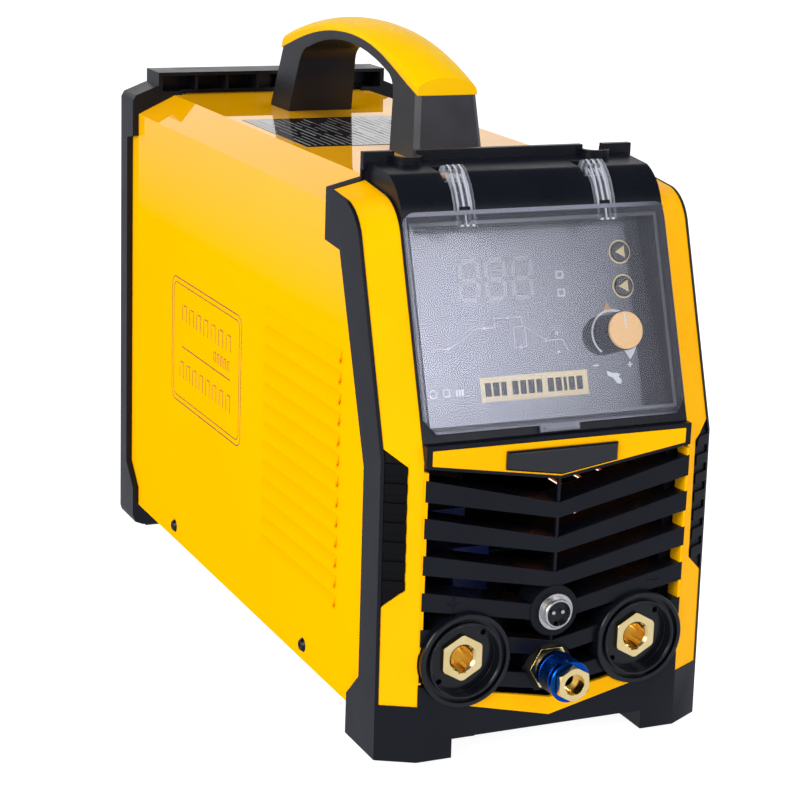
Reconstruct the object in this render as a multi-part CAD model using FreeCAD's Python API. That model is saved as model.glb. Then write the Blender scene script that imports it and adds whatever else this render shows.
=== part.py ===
import FreeCAD, Part
import math
import os

# TIG welding inverter: a folded steel case between two moulded bezels, with a
# tilted control panel behind a clear flip cover, a louvred front and a carrying
# handle.  Millimetres, +Z up, front towards -Y, X to the right seen from behind
# the machine's front face.  Everything is drawn in a working frame whose z = 0 is
# the lower edge of the bezel walls, and PLACE moves it to the final frame: centred
# on the overall box, standing on its foot pads at z = 0.

os.makedirs("parts", exist_ok=True)
V = FreeCAD.Vector

# ---- driving dimensions -------------------------------------------------------
PAD_DROP = 5.0             # foot pads below the bezel walls' lower edge
FRONT_TIP_Y = -239.0       # front of the gas coupling
REAR_TIP_Y = 257.5         # end of the gas inlet barb
PLACE = V(0, -(FRONT_TIP_Y + REAR_TIP_Y) / 2, PAD_DROP)

# front bezel
BEZEL_HALF = 97.0          # half width over the side walls
FACE_HALF = 77.3           # half width of the flat front, inside the chamfers
CHAMFER_Y = 10.8           # how far the chamfer runs back
WALL = 4.0                 # moulded wall
FOOT_Z = -2.5              # lower edge of the feet
FACE_LOW_Y = -212.9        # front face at the feet
KINK_Y = -209.8            # where the face starts to lean back
KINK_Z = 160.5
LEAN = 19.48               # lean of the control face, degrees
FOOT_INNER = 57.0          # inner side of each foot
ARCH_Z = 8.0               # underside between the feet
FLOOR_TOP = 12.0           # bezel floor, which the chassis tray sits on
FRONT_BACK_Y = -117.4      # rear edge of the bezel over the cover
HOOD_HALF = 76.3
RIDGE_Y = -124.3
RIDGE_TOP = 305.4
RIDGE_HALF = 79.8

# grille, trims and badge
GRILLE_TOP_SIDE = 157.5
GRILLE_TOP_MID = 145.4
GRILLE_LOW_SIDE = 39.7
GRILLE_LOW_MID = 24.0
SLATS = 6
SLAT_PITCH_SIDE = 20.07
SLAT_PITCH_MID = 19.15
SLAT_Y = -211.9
TRIM_LOW_Z = 28.4
TRIM_OUT = 95.3
TRIM_IN = 77.4
GRIP_RIBS = 7

# sockets and connectors
SOCKET_X = 51.7
SOCKET_Z = 52.0
CUP_R = 25.8
CUP_RIM_Y = -215.4
CUP_BACK_Y = -203.0
SOCKET_LEAD = 1.2
SOCKET_BORE = 13.0
SOCKET_HEX = 22.4
SOCKET_TURN = 30.0
TORCH_Z = 72.8
TORCH_THREAD = 16.0
TORCH_BOSS_BACK = -195.6
GAS_Z = 40.8
GAS_FACE = -209.5            # front of the boss that the coupling seats on
SLEEVE_R = 12.8

# flip cover and its hinge
COVER_HALF = 76.2
COVER_LOW = 13.5           # along the face, from the kink
COVER_TOP_V = 127.0
COVER_GAP = 0.4
COVER_THICK = 2.5
HINGE_Y = -150.5
HINGE_Z = 291.5
HINGE_PIN = 3.0
ARM_X = 41.0
ARM_HALF = 6.0

# control panel (measured along and square to the leaning face)
PANEL_HALF = 72.5
PANEL_LOW = 17.0
PANEL_HIGH = 122.0
PANEL_DEPTH = 17.0
OVERLAY = 0.4
KNOB_X = 47.3
KNOB_V = 59.8
KNOB_R = 10.5
BUTTON_X = 57.0
BUTTON_V = (103.2, 84.6)
BUTTON_R = 5.4
BUTTON_TRAVEL = 0.6
KNOB_PUSH = 0.6
RUN_FIT = 0.06             # radial running clearance

# steel case
CASE_HALF = 93.5
CASE_T = 1.2
CASE_LOW = 12.0
CASE_BEND = 277.5
CASE_TOP = 289.1
CASE_TOP_HALF = 69.0
CASE_REAR = 231.0
LOUVRES = 13
LOUVRE_PITCH = 11.4
LOUVRE_Z = 59.0
LOUVRE_Y = (-137.0, -25.0)

# rear bezel and panel
REAR_HALF = 97.5
REAR_BACK = 241.0
REAR_FRONT = 211.5
REAR_PANEL_Y = 230.0
REAR_PANEL_T = 1.5
FAN_Z = 172.0
FAN_SIZE = 120.0
FAN_DEPTH = 25.0
FAN_HOLE = 52.5            # half the spacing of the fan's fixing holes
M4 = 4.0
PAN_HEAD_R = 3.8

# handle
HANDLE_HALF = 18.4
HANDLE_FOOT_HALF = 21.6
HANDLE_TOP = 354.3
HANDLE_ARC_R = 293.5       # long radius of the handle's back, along its length
HANDLE_ARC_Y = 53.3
HANDLE_CROWN_R = 42.4      # crosswise radius of the handle's back
HANDLE_RIM = 4.0

# ---- small drawing helpers ----------------------------------------------------
AX = V(1, 0, 0)
AY = V(0, 1, 0)
AZ = V(0, 0, 1)


def box(x0, x1, y0, y1, z0, z1):
    return Part.makeBox(x1 - x0, y1 - y0, z1 - z0, V(x0, y0, z0))


def rod(radius, start, axis, length):
    return Part.makeCylinder(radius, length, start, axis)


def tube(outer, inner, start, axis, length):
    return rod(outer, start, axis, length).cut(rod(inner, start, axis, length))


def face_of(points):
    return Part.Face(Part.makePolygon(points + [points[0]]))


def prism_x(yz, x0, x1):
    return face_of([V(x0, y, z) for y, z in yz]).extrude(V(x1 - x0, 0, 0))


def prism_y(xz, y0, y1):
    return face_of([V(x, y0, z) for x, z in xz]).extrude(V(0, y1 - y0, 0))


def prism_z(xy, z0, z1):
    return face_of([V(x, y, z0) for x, y in xy]).extrude(V(0, 0, z1 - z0))


def hexagon(centre, across, y0, y1, turn=0.0):
    radius = across / math.sqrt(3)
    corners = []
    for k in range(6):
        a = math.radians(60 * k + turn)
        corners.append((centre[0] + radius * math.cos(a), centre[1] + radius * math.sin(a)))
    return prism_y(corners, y0, y1)


def turned(profile, x, z):
    """Solid of revolution about the line along Y at (x, z); profile is (radius, y)."""
    flat = face_of([V(x + r, y, z) for r, y in profile])
    return flat.revolve(V(x, 0, z), AY, 360)


def mirrored(shape):
    return shape.mirror(V(0, 0, 0), AX)


def both(shape):
    return shape.fuse(mirrored(shape))


def fuse_all(shapes):
    return shapes[0].multiFuse(shapes[1:]).removeSplitter()


def group(shapes):
    return Part.makeCompound(shapes)


def arc(a, b, c):
    return Part.Arc(a, b, c).toShape()


def line(a, b):
    return Part.LineSegment(a, b).toShape()


def leaned(shape):
    """Put a shape drawn against an upright face at y = 0, z = 0 onto the leaning face."""
    out = shape.copy()
    out.rotate(V(0, 0, 0), AX, -LEAN)
    out.translate(V(0, KINK_Y, KINK_Z))
    return out


def face_y(z):
    """Front face of the bezel at height z."""
    if z <= KINK_Z:
        return FACE_LOW_Y + (KINK_Y - FACE_LOW_Y) * (z - FOOT_Z) / (KINK_Z - FOOT_Z)
    return KINK_Y + (z - KINK_Z) * math.tan(math.radians(LEAN))


# ---- front bezel --------------------------------------------------------------
# Side profiles (y, z): at the edge of the flat face, and at the outer side wall.
INNER_PROFILE = [
    (FACE_LOW_Y, FOOT_Z), (KINK_Y, KINK_Z), (face_y(269.6), 269.6),
    (-163.2, 281.4), (-149.4, 287.4), (FRONT_BACK_Y, 291.5),
]
OUTER_PROFILE = [
    (FACE_LOW_Y + CHAMFER_Y, FOOT_Z), (KINK_Y + CHAMFER_Y, KINK_Z), (-162.9, 266.3),
    (-155.8, 277.9), (-144.7, 283.7), (FRONT_BACK_Y, 286.6),
]
HOOD_PROFILE = [
    (face_y(276.0), 276.0), (-161.7, 290.6), (-150.0, 298.0), (RIDGE_Y, 300.6),
]


def profile_wire(profile, x, dy, dz, low, back):
    """Closed wire at x: up the front, round the top, back down the rear plane."""
    p = [V(x, y + dy, z + dz) for y, z in profile]
    start = V(x, p[0].y, low)
    top_back = V(x, back, p[5].z)
    low_back = V(x, back, low)
    edges = [line(start, p[1]), line(p[1], p[2]), arc(p[2], p[3], p[4]), line(p[4], top_back)]
    edges += [line(top_back, low_back), line(low_back, start)]
    return Part.Wire(edges)


def chamfer_loft(x_in, x_out, shift_in, shift_out, low, back):
    inner = profile_wire(INNER_PROFILE, x_in, shift_in[0], shift_in[1], low, back)
    outer = profile_wire(OUTER_PROFILE, x_out, shift_out[0], shift_out[1], low, back)
    return Part.makeLoft([inner, outer], True, True)


def bezel_block(x_in, x_out, shift_in, shift_out, low, back):
    """Solid with the bezel's outer form, moved in from the surface by the shifts."""
    middle = Part.Face(profile_wire(INNER_PROFILE, -x_in, shift_in[0], shift_in[1], low, back))
    middle = middle.extrude(V(2 * x_in, 0, 0))
    side = chamfer_loft(x_in, x_out, shift_in, shift_out, low, back)
    return fuse_all([middle, side, mirrored(side)])


def hood_block(half, drop):
    """The raised hood above the control face, whose slots take the cover's arms."""
    h = [V(-half, y + drop, z - drop) for y, z in HOOD_PROFILE]
    low = V(-half, face_y(262.0) + drop, 262.0 - drop)
    back_top = V(-half, RIDGE_Y + 4.0, h[3].z)
    back_low = V(-half, RIDGE_Y + 4.0, 270.0)
    edges = [line(low, h[0]), arc(h[0], h[1], h[2]), line(h[2], back_top)]
    edges += [line(back_top, back_low), line(back_low, low)]
    return Part.Face(Part.Wire(edges)).extrude(V(2 * half, 0, 0))


# Rear edge of the bezel's side flange, as (y, z) from the top down.
FLANGE_EDGE = [
    (FRONT_BACK_Y, 258.5), (-137.7, 256.9), (-177.5, 150.7),
    (-179.1, 35.7), (-163.5, 20.6), (-163.4, FOOT_Z - 10),
]
CASE_LAP = 7.0             # how far the case runs in under the flange


def flange_cut():
    outline = [(FRONT_BACK_Y, 400.0)] + FLANGE_EDGE + [(400.0, FOOT_Z - 10), (400.0, 400.0)]
    return prism_x(outline, -120, 120)


def case_outline(inset=0.0):
    low = CASE_LOW
    return [
        (-CASE_HALF + inset, low), (-CASE_HALF + inset, CASE_BEND - inset * 0.6),
        (-CASE_TOP_HALF + inset * 0.4, CASE_TOP - inset), (CASE_TOP_HALF - inset * 0.4, CASE_TOP - inset),
        (CASE_HALF - inset, CASE_BEND - inset * 0.6), (CASE_HALF - inset, low),
    ]


def case_front_cut():
    """Everything in front of the case's front edge, which follows the flange."""
    lap = [(y - CASE_LAP, z) for y, z in FLANGE_EDGE[:4]]
    outline = [(-400.0, 400.0), (FRONT_BACK_Y - CASE_LAP, 400.0)] + lap
    outline += [(FLANGE_EDGE[3][0] - CASE_LAP, 0.0), (-400.0, 0.0)]
    return prism_x(outline, -120, 120)


def case_envelope():
    return prism_y(case_outline(), -200, CASE_REAR).cut(case_front_cut())


def grille_opening(y0, y1):
    outline = [
        (-TRIM_IN, GRILLE_TOP_SIDE), (0, GRILLE_TOP_MID), (TRIM_IN, GRILLE_TOP_SIDE),
        (TRIM_IN, GRILLE_LOW_SIDE), (0, GRILLE_LOW_MID), (-TRIM_IN, GRILLE_LOW_SIDE),
    ]
    return prism_y(outline, y0, y1)


BROW_Y = -211.9
CHEVRON_TOP = 166.7
CHEVRON_HALF = 74.0
CHEVRON_SIDE = 158.7
CHEVRON_TIP = 147.2
TRIM_PLATE = 2.0


def brow():
    """Black cross bar that carries the upper chevron, flush with the lower face."""
    side = [(BROW_Y, 140.0), (BROW_Y, 169.2), (face_y(169.2) + 6, 169.2), (-203.0, 150.0), (-203.0, 140.0)]
    bar = prism_x(side, -FACE_HALF, FACE_HALF)
    below = prism_y([(-TRIM_IN - 1, GRILLE_TOP_SIDE), (0, GRILLE_TOP_MID), (TRIM_IN + 1, GRILLE_TOP_SIDE),
                     (TRIM_IN + 1, 100), (-TRIM_IN - 1, 100)], -230, -190)
    return bar.cut(below)


def chevron_upper_shape(y0, y1):
    outline = [
        (-CHEVRON_HALF, CHEVRON_TOP), (CHEVRON_HALF, CHEVRON_TOP), (CHEVRON_HALF, CHEVRON_SIDE),
        (0, CHEVRON_TIP), (-CHEVRON_HALF, CHEVRON_SIDE),
    ]
    return prism_y(outline, y0, y1)


def chevron_lower_shape(y0, y1):
    outline = [(0, 14.0), (60, 28.2), (60, 36.2), (0, GRILLE_LOW_MID), (-60, 36.2), (-60, 28.2)]
    shape = prism_y(outline, y0, y1)
    for sx in (-1, 1):
        shape = shape.cut(rod(CUP_R + 0.5, V(sx * SOCKET_X, -240, SOCKET_Z), AY, 60))
    return shape


LOW_TRIM_Y = -212.9
TRIM_SINK = (0.45, -0.35)
TRIM_BACK = (2.6, -2.2)


def grip_zone(side_in=84.3, side_out=TRIM_OUT):
    """Outline of a side grip on the chamfer, in front view."""
    return [
        (side_out + 3, 168.3), (side_out, 166.1), (side_in, 157.2), (side_in, 91.7),
        (side_out, 81.6), (side_out + 3, 79.4),
    ]


def trim_block(front, back):
    """Slice of the right chamfer between two depths, inside the strip's borders."""
    outer = chamfer_loft(FACE_HALF, BEZEL_HALF, front, front, FOOT_Z, FRONT_BACK_Y)
    inner = chamfer_loft(FACE_HALF, BEZEL_HALF, back, back, FOOT_Z, FRONT_BACK_Y)
    slice_ = outer.cut(inner)
    border = box(TRIM_IN, TRIM_OUT, -260, FRONT_BACK_Y - 6, TRIM_LOW_Z, 330)
    return slice_.common(border)


def screw_boss_notch(x):
    """U-shaped pocket in the ridge round a case screw: wall and the space inside it."""
    centre = V(x, RIDGE_Y - 3.0, 286.0)
    wall = rod(8.6, centre, AZ, RIDGE_TOP - 2.0 - 286.0)
    wall = wall.fuse(box(x - 8.6, x + 8.6, centre.y, RIDGE_Y + 2.5, 286, RIDGE_TOP - 2.0))
    space = rod(6.2, V(x, centre.y, CASE_TOP), AZ, 40)
    space = space.fuse(box(x - 6.2, x + 6.2, centre.y, FRONT_BACK_Y + 1, CASE_TOP, 330))
    return wall, space


def front_bezel():
    outer = bezel_block(FACE_HALF, BEZEL_HALF, (0, 0), (0, 0), FOOT_Z, FRONT_BACK_Y)
    hood = hood_block(HOOD_HALF, 0.0)
    ridge = box(-RIDGE_HALF, RIDGE_HALF, RIDGE_Y - 1.5, RIDGE_Y + 2.5, 286, RIDGE_TOP)
    lugs = both(hinge_lugs())
    body = fuse_all([outer, hood, ridge, brow()])
    cavity = bezel_block(FACE_HALF - 1.2, BEZEL_HALF - 3.0, (WALL + 0.2, -WALL), (2.3, -WALL),
                         FLOOR_TOP, 0.0)
    cavity = cavity.fuse(hood_block(HOOD_HALF - WALL, 3.4))
    body = body.cut(cavity)
    body = body.fuse(lugs)
    under = box(-FOOT_INNER, FOOT_INNER, -260, 0, FOOT_Z - 5, ARCH_Z)
    body = body.cut(under)
    for sx in (-1, 1):
        wall, space = screw_boss_notch(sx * 56.0)
        body = body.fuse(wall).cut(space)
    body = body.cut(flange_cut()).cut(case_envelope())
    body = body.cut(grille_opening(-230, -195))
    body = body.cut(leaned(box(-PANEL_HALF, PANEL_HALF, -10, 40, PANEL_LOW, PANEL_HIGH)))
    body = body.cut(both(arm_slot()))
    body = body.cut(both(rod(HINGE_PIN / 2, V(ARM_X - 11, HINGE_Y, HINGE_Z), AX, 22)))
    body = body.cut(chevron_upper_shape(BROW_Y - 5, BROW_Y + TRIM_PLATE))
    body = body.cut(chevron_lower_shape(-230, LOW_TRIM_Y + 0.5 + TRIM_PLATE))
    body = body.cut(both(trim_block((-6, 6), TRIM_BACK)))
    for sx in (-1, 1):
        body = body.cut(rod(CUP_R + 0.02, V(sx * SOCKET_X, -240, SOCKET_Z), AY, 60))
    body = body.cut(arch_emboss())
    return max(body.removeSplitter().Solids, key=lambda s: s.Volume)


def arch_emboss():
    """Shallow sunk panel in the front wall over the arch between the feet."""
    outline = [(-45, ARCH_Z - 1), (45, ARCH_Z - 1), (36, 15.5), (8, 10.6), (-8, 10.6), (-36, 15.5)]
    return prism_y(outline, -230, -212.1)


def hinge_lugs():
    """Two lugs on each side of an arm slot, under the hood, bored for the hinge pin."""
    inner = box(ARM_X - 10.5, ARM_X - ARM_HALF - 0.7, HINGE_Y - 5, HINGE_Y + 5, HINGE_Z - 5, 298.2)
    outer = box(ARM_X + ARM_HALF + 0.7, ARM_X + 10.5, HINGE_Y - 5, HINGE_Y + 5, HINGE_Z - 5, 298.2)
    return inner.fuse(outer).common(hood_block(HOOD_HALF, 0.2))


def arm_slot():
    return box(ARM_X - ARM_HALF - 0.7, ARM_X + ARM_HALF + 0.7, HINGE_Y - 7.5, HINGE_Y + 10.5, 280, 312)


# ---- yellow trims, grips and badge --------------------------------------------
def yellow_trim():
    """Right strip on the chamfer, with its return into the grille opening."""
    strip = trim_block(TRIM_SINK, TRIM_BACK)
    grip = prism_y(grip_zone(), -260, -150)
    strip = strip.cut(grip)
    back = box(TRIM_IN - 1.6, TRIM_IN, -211.9, -201.5, GRILLE_LOW_SIDE + 1, GRILLE_TOP_SIDE - 2)
    back = back.cut(slats_solid())
    strip = strip.fuse(back)
    strip = strip.cut(rod(CUP_R + 0.5, V(SOCKET_X, -240, SOCKET_Z), AY, 60))
    return max(strip.Solids, key=lambda s: s.Volume)


def grip():
    """Right black grip with raised ribs, filling the notch in the yellow strip."""
    base = trim_block((1.0, -0.8), TRIM_BACK).common(prism_y(grip_zone(), -260, -150))
    proud = trim_block((-0.6, 0.4), (1.0, -0.8)).common(prism_y(grip_zone(85.3, TRIM_OUT), -260, -150))
    span = 166.1 - 81.6
    pitch = (span - 12.0) / GRIP_RIBS
    ribs = []
    for k in range(GRIP_RIBS):
        z0 = 81.6 + 8.0 + pitch * (k + 0.14)
        ribs.append(proud.common(box(80, 98, -260, -150, z0, z0 + pitch * 0.56)))
    return fuse_all([base] + ribs)


def chevron_upper():
    return chevron_upper_shape(BROW_Y - 0.3, BROW_Y + TRIM_PLATE)


def chevron_lower():
    return chevron_lower_shape(LOW_TRIM_Y + 0.2, LOW_TRIM_Y + 0.5 + TRIM_PLATE).common(
        prism_x([(-240, 0), (-200, 0), (-200, 60), (-240, 60)], -70, 70))


def badge_plate():
    y = BROW_Y - 0.3
    outline = [(-32.5, 163.3), (32.5, 163.3), (32.5, 153.4), (0, 148.3), (-32.5, 153.4)]
    plate = prism_y(outline, y - 2.2, y)
    return plate.makeChamfer(1.1, [e for e in plate.Edges if all(abs(v.Point.y - (y - 2.2)) < 0.01
                                                                 for v in e.Vertexes)])


# ---- grille ---------------------------------------------------------------------
SLAT_DEPTH = (23.0, 23.0, 23.0, 23.0, 14.0, 14.0)
GRILLE_FRAME_Y = -200.0


def slat(index):
    """One V slat: its ends are thicker and higher than its middle."""
    end_top = 151.6 - SLAT_PITCH_SIDE * index
    mid_top = 132.4 - SLAT_PITCH_MID * index
    end_thick = 11.5 - 0.45 * index
    mid_thick = 8.4
    y0 = SLAT_Y
    y1 = SLAT_Y + SLAT_DEPTH[index]

    def section(x, top, thick):
        return Part.makePolygon([V(x, y0, top), V(x, y0, top - thick), V(x, y1, top - thick + 1.2),
                                 V(x, y1, top - 1.2), V(x, y0, top)])

    right = Part.makeLoft([section(0, mid_top, mid_thick), section(TRIM_IN - 0.1, end_top, end_thick)],
                          True, True)
    return right.fuse(mirrored(right)).removeSplitter()


def slats_solid():
    return group([slat(k) for k in range(SLATS)])


def front_grille():
    rails = both(box(70.0, TRIM_IN - 0.1, GRILLE_FRAME_Y, GRILLE_FRAME_Y + 4, GRILLE_LOW_MID + 4, 164.0))
    top = box(-TRIM_IN + 0.1, TRIM_IN - 0.1, GRILLE_FRAME_Y, GRILLE_FRAME_Y + 4, 157.0, 164.0)
    pads = both(box(60, 70, -209.0, GRILLE_FRAME_Y, 158.5, 163.5))
    low = box(-TRIM_IN + 0.1, TRIM_IN - 0.1, GRILLE_FRAME_Y, GRILLE_FRAME_Y + 4, GRILLE_LOW_MID, 30.0)
    spine = box(-0.8, 0.8, SLAT_Y + 0.8, SLAT_Y + 2.4, GRILLE_LOW_MID + 2, GRILLE_TOP_MID + 1)
    torch_boss = rod(14.0, V(0, -212.6, TORCH_Z), AY, 212.6 + TORCH_BOSS_BACK)
    gas_boss = hexagon((0, GAS_Z), 27.0, GAS_FACE, -196.0, 0.0)
    slats = [slat(k) for k in range(SLATS)]
    body = fuse_all([rails, top, pads, low, spine, torch_boss, gas_boss] + slats)
    body = body.cut(rod(TORCH_THREAD / 2, V(0, -240, TORCH_Z), AY, 80))
    body = body.cut(rod(6.5, V(0, -240, GAS_Z), AY, 80))
    body = body.cut(rod(SLEEVE_R + 0.8, V(0, -240, GAS_Z), AY, 240 + GAS_FACE))
    body = body.cut(rod(12.5, V(0, TORCH_BOSS_BACK, TORCH_Z), AY, 20))
    for sx in (-1, 1):
        body = body.cut(rod(CUP_R + 0.02, V(sx * SOCKET_X, -240, SOCKET_Z), AY, 60))
    body = body.cut(polarity_marks())
    body = body.cut(front_bezel_solid).cut(group([trim_r, mirrored(trim_r)]))
    return max(body.Solids, key=lambda s: s.Volume)


def polarity_marks():
    """Sunk plus and minus signs on the fourth slat, over the two sockets."""
    depth = 0.5
    y0 = SLAT_Y - 1
    y1 = SLAT_Y + depth
    z = 83.5
    plus = box(-62.5, -55.5, y0, y1, z - 0.6, z + 0.6).fuse(box(-59.6, -58.4, y0, y1, z - 3.5, z + 3.5))
    minus = box(55.5, 62.5, y0, y1, z - 0.6, z + 0.6)
    return group([plus, minus])


# ---- sockets ------------------------------------------------------------------
def socket_cup(x):
    """Insulating cup: double ring at the rim, a sunk floor with two screw holes."""
    rim = CUP_RIM_Y
    floor = -208.8
    profile = [
        (9.0, floor), (19.4, floor), (19.4, rim + 0.6), (20.0, rim), (20.9, rim), (20.9, rim + 3.0),
        (23.3, rim + 3.0), (23.3, rim), (25.2, rim), (CUP_R, rim + 0.6), (CUP_R, CUP_BACK_Y), (9.0, CUP_BACK_Y),
    ]
    cup = turned(profile, x, SOCKET_Z)
    for sx in (-1, 1):
        hole = V(x + sx * 12.4, floor - 0.1, SOCKET_Z + sx * 12.4)
        cup = cup.cut(rod(1.5, hole, AY, 4.0))
    return cup.cut(hexagon((x, SOCKET_Z), SOCKET_HEX, floor, floor + 3.0, SOCKET_TURN))


def socket_insert(x):
    """Brass socket: hexagon seated in the cup's floor, keyed bore for the plug."""
    floor = -208.8
    head = hexagon((x, SOCKET_Z), SOCKET_HEX, floor - 2.2, floor + 3.0, SOCKET_TURN)
    bevel = Part.makeCone(12.4, 13.8, 1.6, V(x, floor - 2.2, SOCKET_Z), AY)
    bevel = bevel.fuse(rod(13.8, V(x, floor - 0.6, SOCKET_Z), AY, 4))
    head = head.common(bevel)
    barrel = rod(9.0, V(x, floor + 3.0, SOCKET_Z), AY, 24.0)
    body = head.fuse(barrel).removeSplitter()
    body = body.cut(rod(SOCKET_BORE / 2, V(x, floor - 10, SOCKET_Z), AY, 31.0))
    mouth = SOCKET_BORE / 2 + SOCKET_LEAD
    body = body.cut(Part.makeCone(mouth, SOCKET_BORE / 2, SOCKET_LEAD, V(x, floor - 2.2, SOCKET_Z), AY))
    key = box(x - 2.1, x + 2.1, floor - 10, floor + 16, SOCKET_Z - 8.4, SOCKET_Z)
    return body.cut(key)


def connector_nuts():
    """Lock nuts behind the two sockets and behind the torch connector."""
    nuts = []
    for sx in (-1, 1):
        nut = hexagon((sx * SOCKET_X, SOCKET_Z), 27.0, CUP_BACK_Y, CUP_BACK_Y + 6.0, 30.0)
        nuts.append(nut.cut(rod(9.0, V(sx * SOCKET_X, CUP_BACK_Y - 1, SOCKET_Z), AY, 9)))
    nut = hexagon((0, TORCH_Z), 20.0, TORCH_BOSS_BACK, TORCH_BOSS_BACK + 3.0, 0.0)
    nuts.append(nut.cut(rod(TORCH_THREAD / 2, V(0, -210, TORCH_Z), AY, 30)))
    return group(nuts)


def output_busbars():
    bars = []
    for sx in (-1, 1):
        plate = box(-13, 13, CUP_BACK_Y + 9.0, CUP_BACK_Y + 12.0, SOCKET_Z - 13, SOCKET_Z + 17)
        run = box(-9, 9, CUP_BACK_Y + 9.0, -55.0, SOCKET_Z + 17, SOCKET_Z + 20)
        bar = plate.fuse(run)
        bar.translate(V(sx * SOCKET_X, 0, 0))
        bars.append(bar.cut(rod(9.0, V(sx * SOCKET_X, -240, SOCKET_Z), AY, 80)).removeSplitter())
    return group(bars)


# ---- torch control connector ---------------------------------------------------
TORCH_FACE = -212.6
TORCH_TIP = -218.2


def torch_connector_shell():
    r = TORCH_THREAD / 2
    profile = [
        (6.8, TORCH_TIP), (r - 0.4, TORCH_TIP), (r, TORCH_TIP + 0.5), (r, TORCH_FACE - 2.0), (10.0, TORCH_FACE - 2.0),
        (10.0, TORCH_FACE), (r, TORCH_FACE), (r, -188.0), (6.8, -188.0),
    ]
    return turned(profile, 0, TORCH_Z)


def torch_connector_insert():
    disc = rod(6.8, V(0, TORCH_TIP + 3.0, TORCH_Z), AY, 24.0)
    disc = disc.cut(box(-1.2, 1.2, TORCH_TIP, TORCH_TIP + 8.0, TORCH_Z - 7, TORCH_Z - 5.2))
    for sx in (-1, 1):
        disc = disc.cut(rod(1.0, V(sx * 2.7, TORCH_TIP - 1, TORCH_Z + 0.6), AY, 40))
    return disc


def torch_connector_pins():
    pins = []
    for sx in (-1, 1):
        pins.append(rod(1.0, V(sx * 2.7, TORCH_TIP + 0.8, TORCH_Z + 0.6), AY, 31.0))
    return group(pins)


# ---- gas quick coupling ---------------------------------------------------------
SLEEVE_BACK = -216.2
SLEEVE_FRONT = -234.6
SEAT_NUT = 3.0
NOZZLE_BACK = -223.0


def gas_coupling_body():
    """Brass barrel with its seating hexagon, screwed through the front boss."""
    nut = hexagon((0, GAS_Z), 21.5, GAS_FACE - SEAT_NUT, GAS_FACE, 0.0)
    barrel = rod(6.5, V(0, NOZZLE_BACK, GAS_Z), AY, NOZZLE_BACK * -1 - 188.0)
    body = nut.fuse(barrel)
    thread = rod(6.5, V(0, GAS_FACE, GAS_Z), AY, 24.0)
    body = body.fuse(thread).removeSplitter()
    return body.cut(rod(4.0, V(0, -240, GAS_Z), AY, 60))


def gas_coupling_nozzle():
    """Brass mouth screwed on the barrel; the hose plug's tail goes into it."""
    head = hexagon((0, GAS_Z), 17.3, FRONT_TIP_Y, SLEEVE_FRONT - 0.6, 30.0)
    bevel = Part.makeCone(8.9, 12.5, 3.0, V(0, FRONT_TIP_Y, GAS_Z), AY)
    bevel = bevel.fuse(rod(12.5, V(0, FRONT_TIP_Y + 3.0, GAS_Z), AY, 12))
    head = head.common(bevel)
    neck = rod(7.4, V(0, SLEEVE_FRONT - 0.6, GAS_Z), AY, NOZZLE_BACK - SLEEVE_FRONT + 0.6)
    body = head.fuse(neck).removeSplitter()
    body = body.cut(rod(5.8, V(0, FRONT_TIP_Y - 1, GAS_Z), AY, 10.0))
    return body.cut(rod(4.0, V(0, FRONT_TIP_Y - 1, GAS_Z), AY, 30.0))


def gas_coupling_sleeve():
    """Sliding release sleeve with a grooved grip, running on the nozzle's neck."""
    f = SLEEVE_FRONT
    b = SLEEVE_BACK
    r = SLEEVE_R
    bore = 7.4 + RUN_FIT
    profile = [
        (bore, f), (r - 0.6, f), (r, f + 0.6), (r, f + 2.6), (r - 0.7, f + 3.2), (r - 0.7, f + 4.2),
        (r - 0.2, f + 4.6), (r - 0.2, b - 3.0), (r - 0.8, b - 2.4), (r - 0.8, b), (8.4, b), (8.4, f + 6.5),
        (bore, f + 6.5),
    ]
    return turned(profile, 0, GAS_Z)


def coupling_spring():
    """Return spring of the sleeve, drawn as the tube that its coils fill."""
    return tube(8.2, 7.6, V(0, SLEEVE_FRONT + 6.5, GAS_Z), AY, GAS_FACE - SEAT_NUT - SLEEVE_FRONT - 6.5)


# ---- flip cover -----------------------------------------------------------------
def arm_outline():
    """Side view of a cover arm: from the plate's top edge over the hood to the hinge."""
    return [
        (-173.4, 268.5), (-171.9, 275.0), (-168.5, 285.0), (-163.6, 293.6), (-157.6, 299.6),
        (-152.6, 302.0), (-149.6, 300.8), (-147.2, 296.6), (-147.0, 291.5), (-148.6, 288.6),
        (-152.4, 288.6), (-154.0, 291.5), (-153.6, 296.6), (-154.9, 297.4), (-158.6, 295.2),
        (-163.4, 290.4), (-167.2, 283.6), (-169.6, 277.6), (-172.2, 270.0),
    ]


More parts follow.
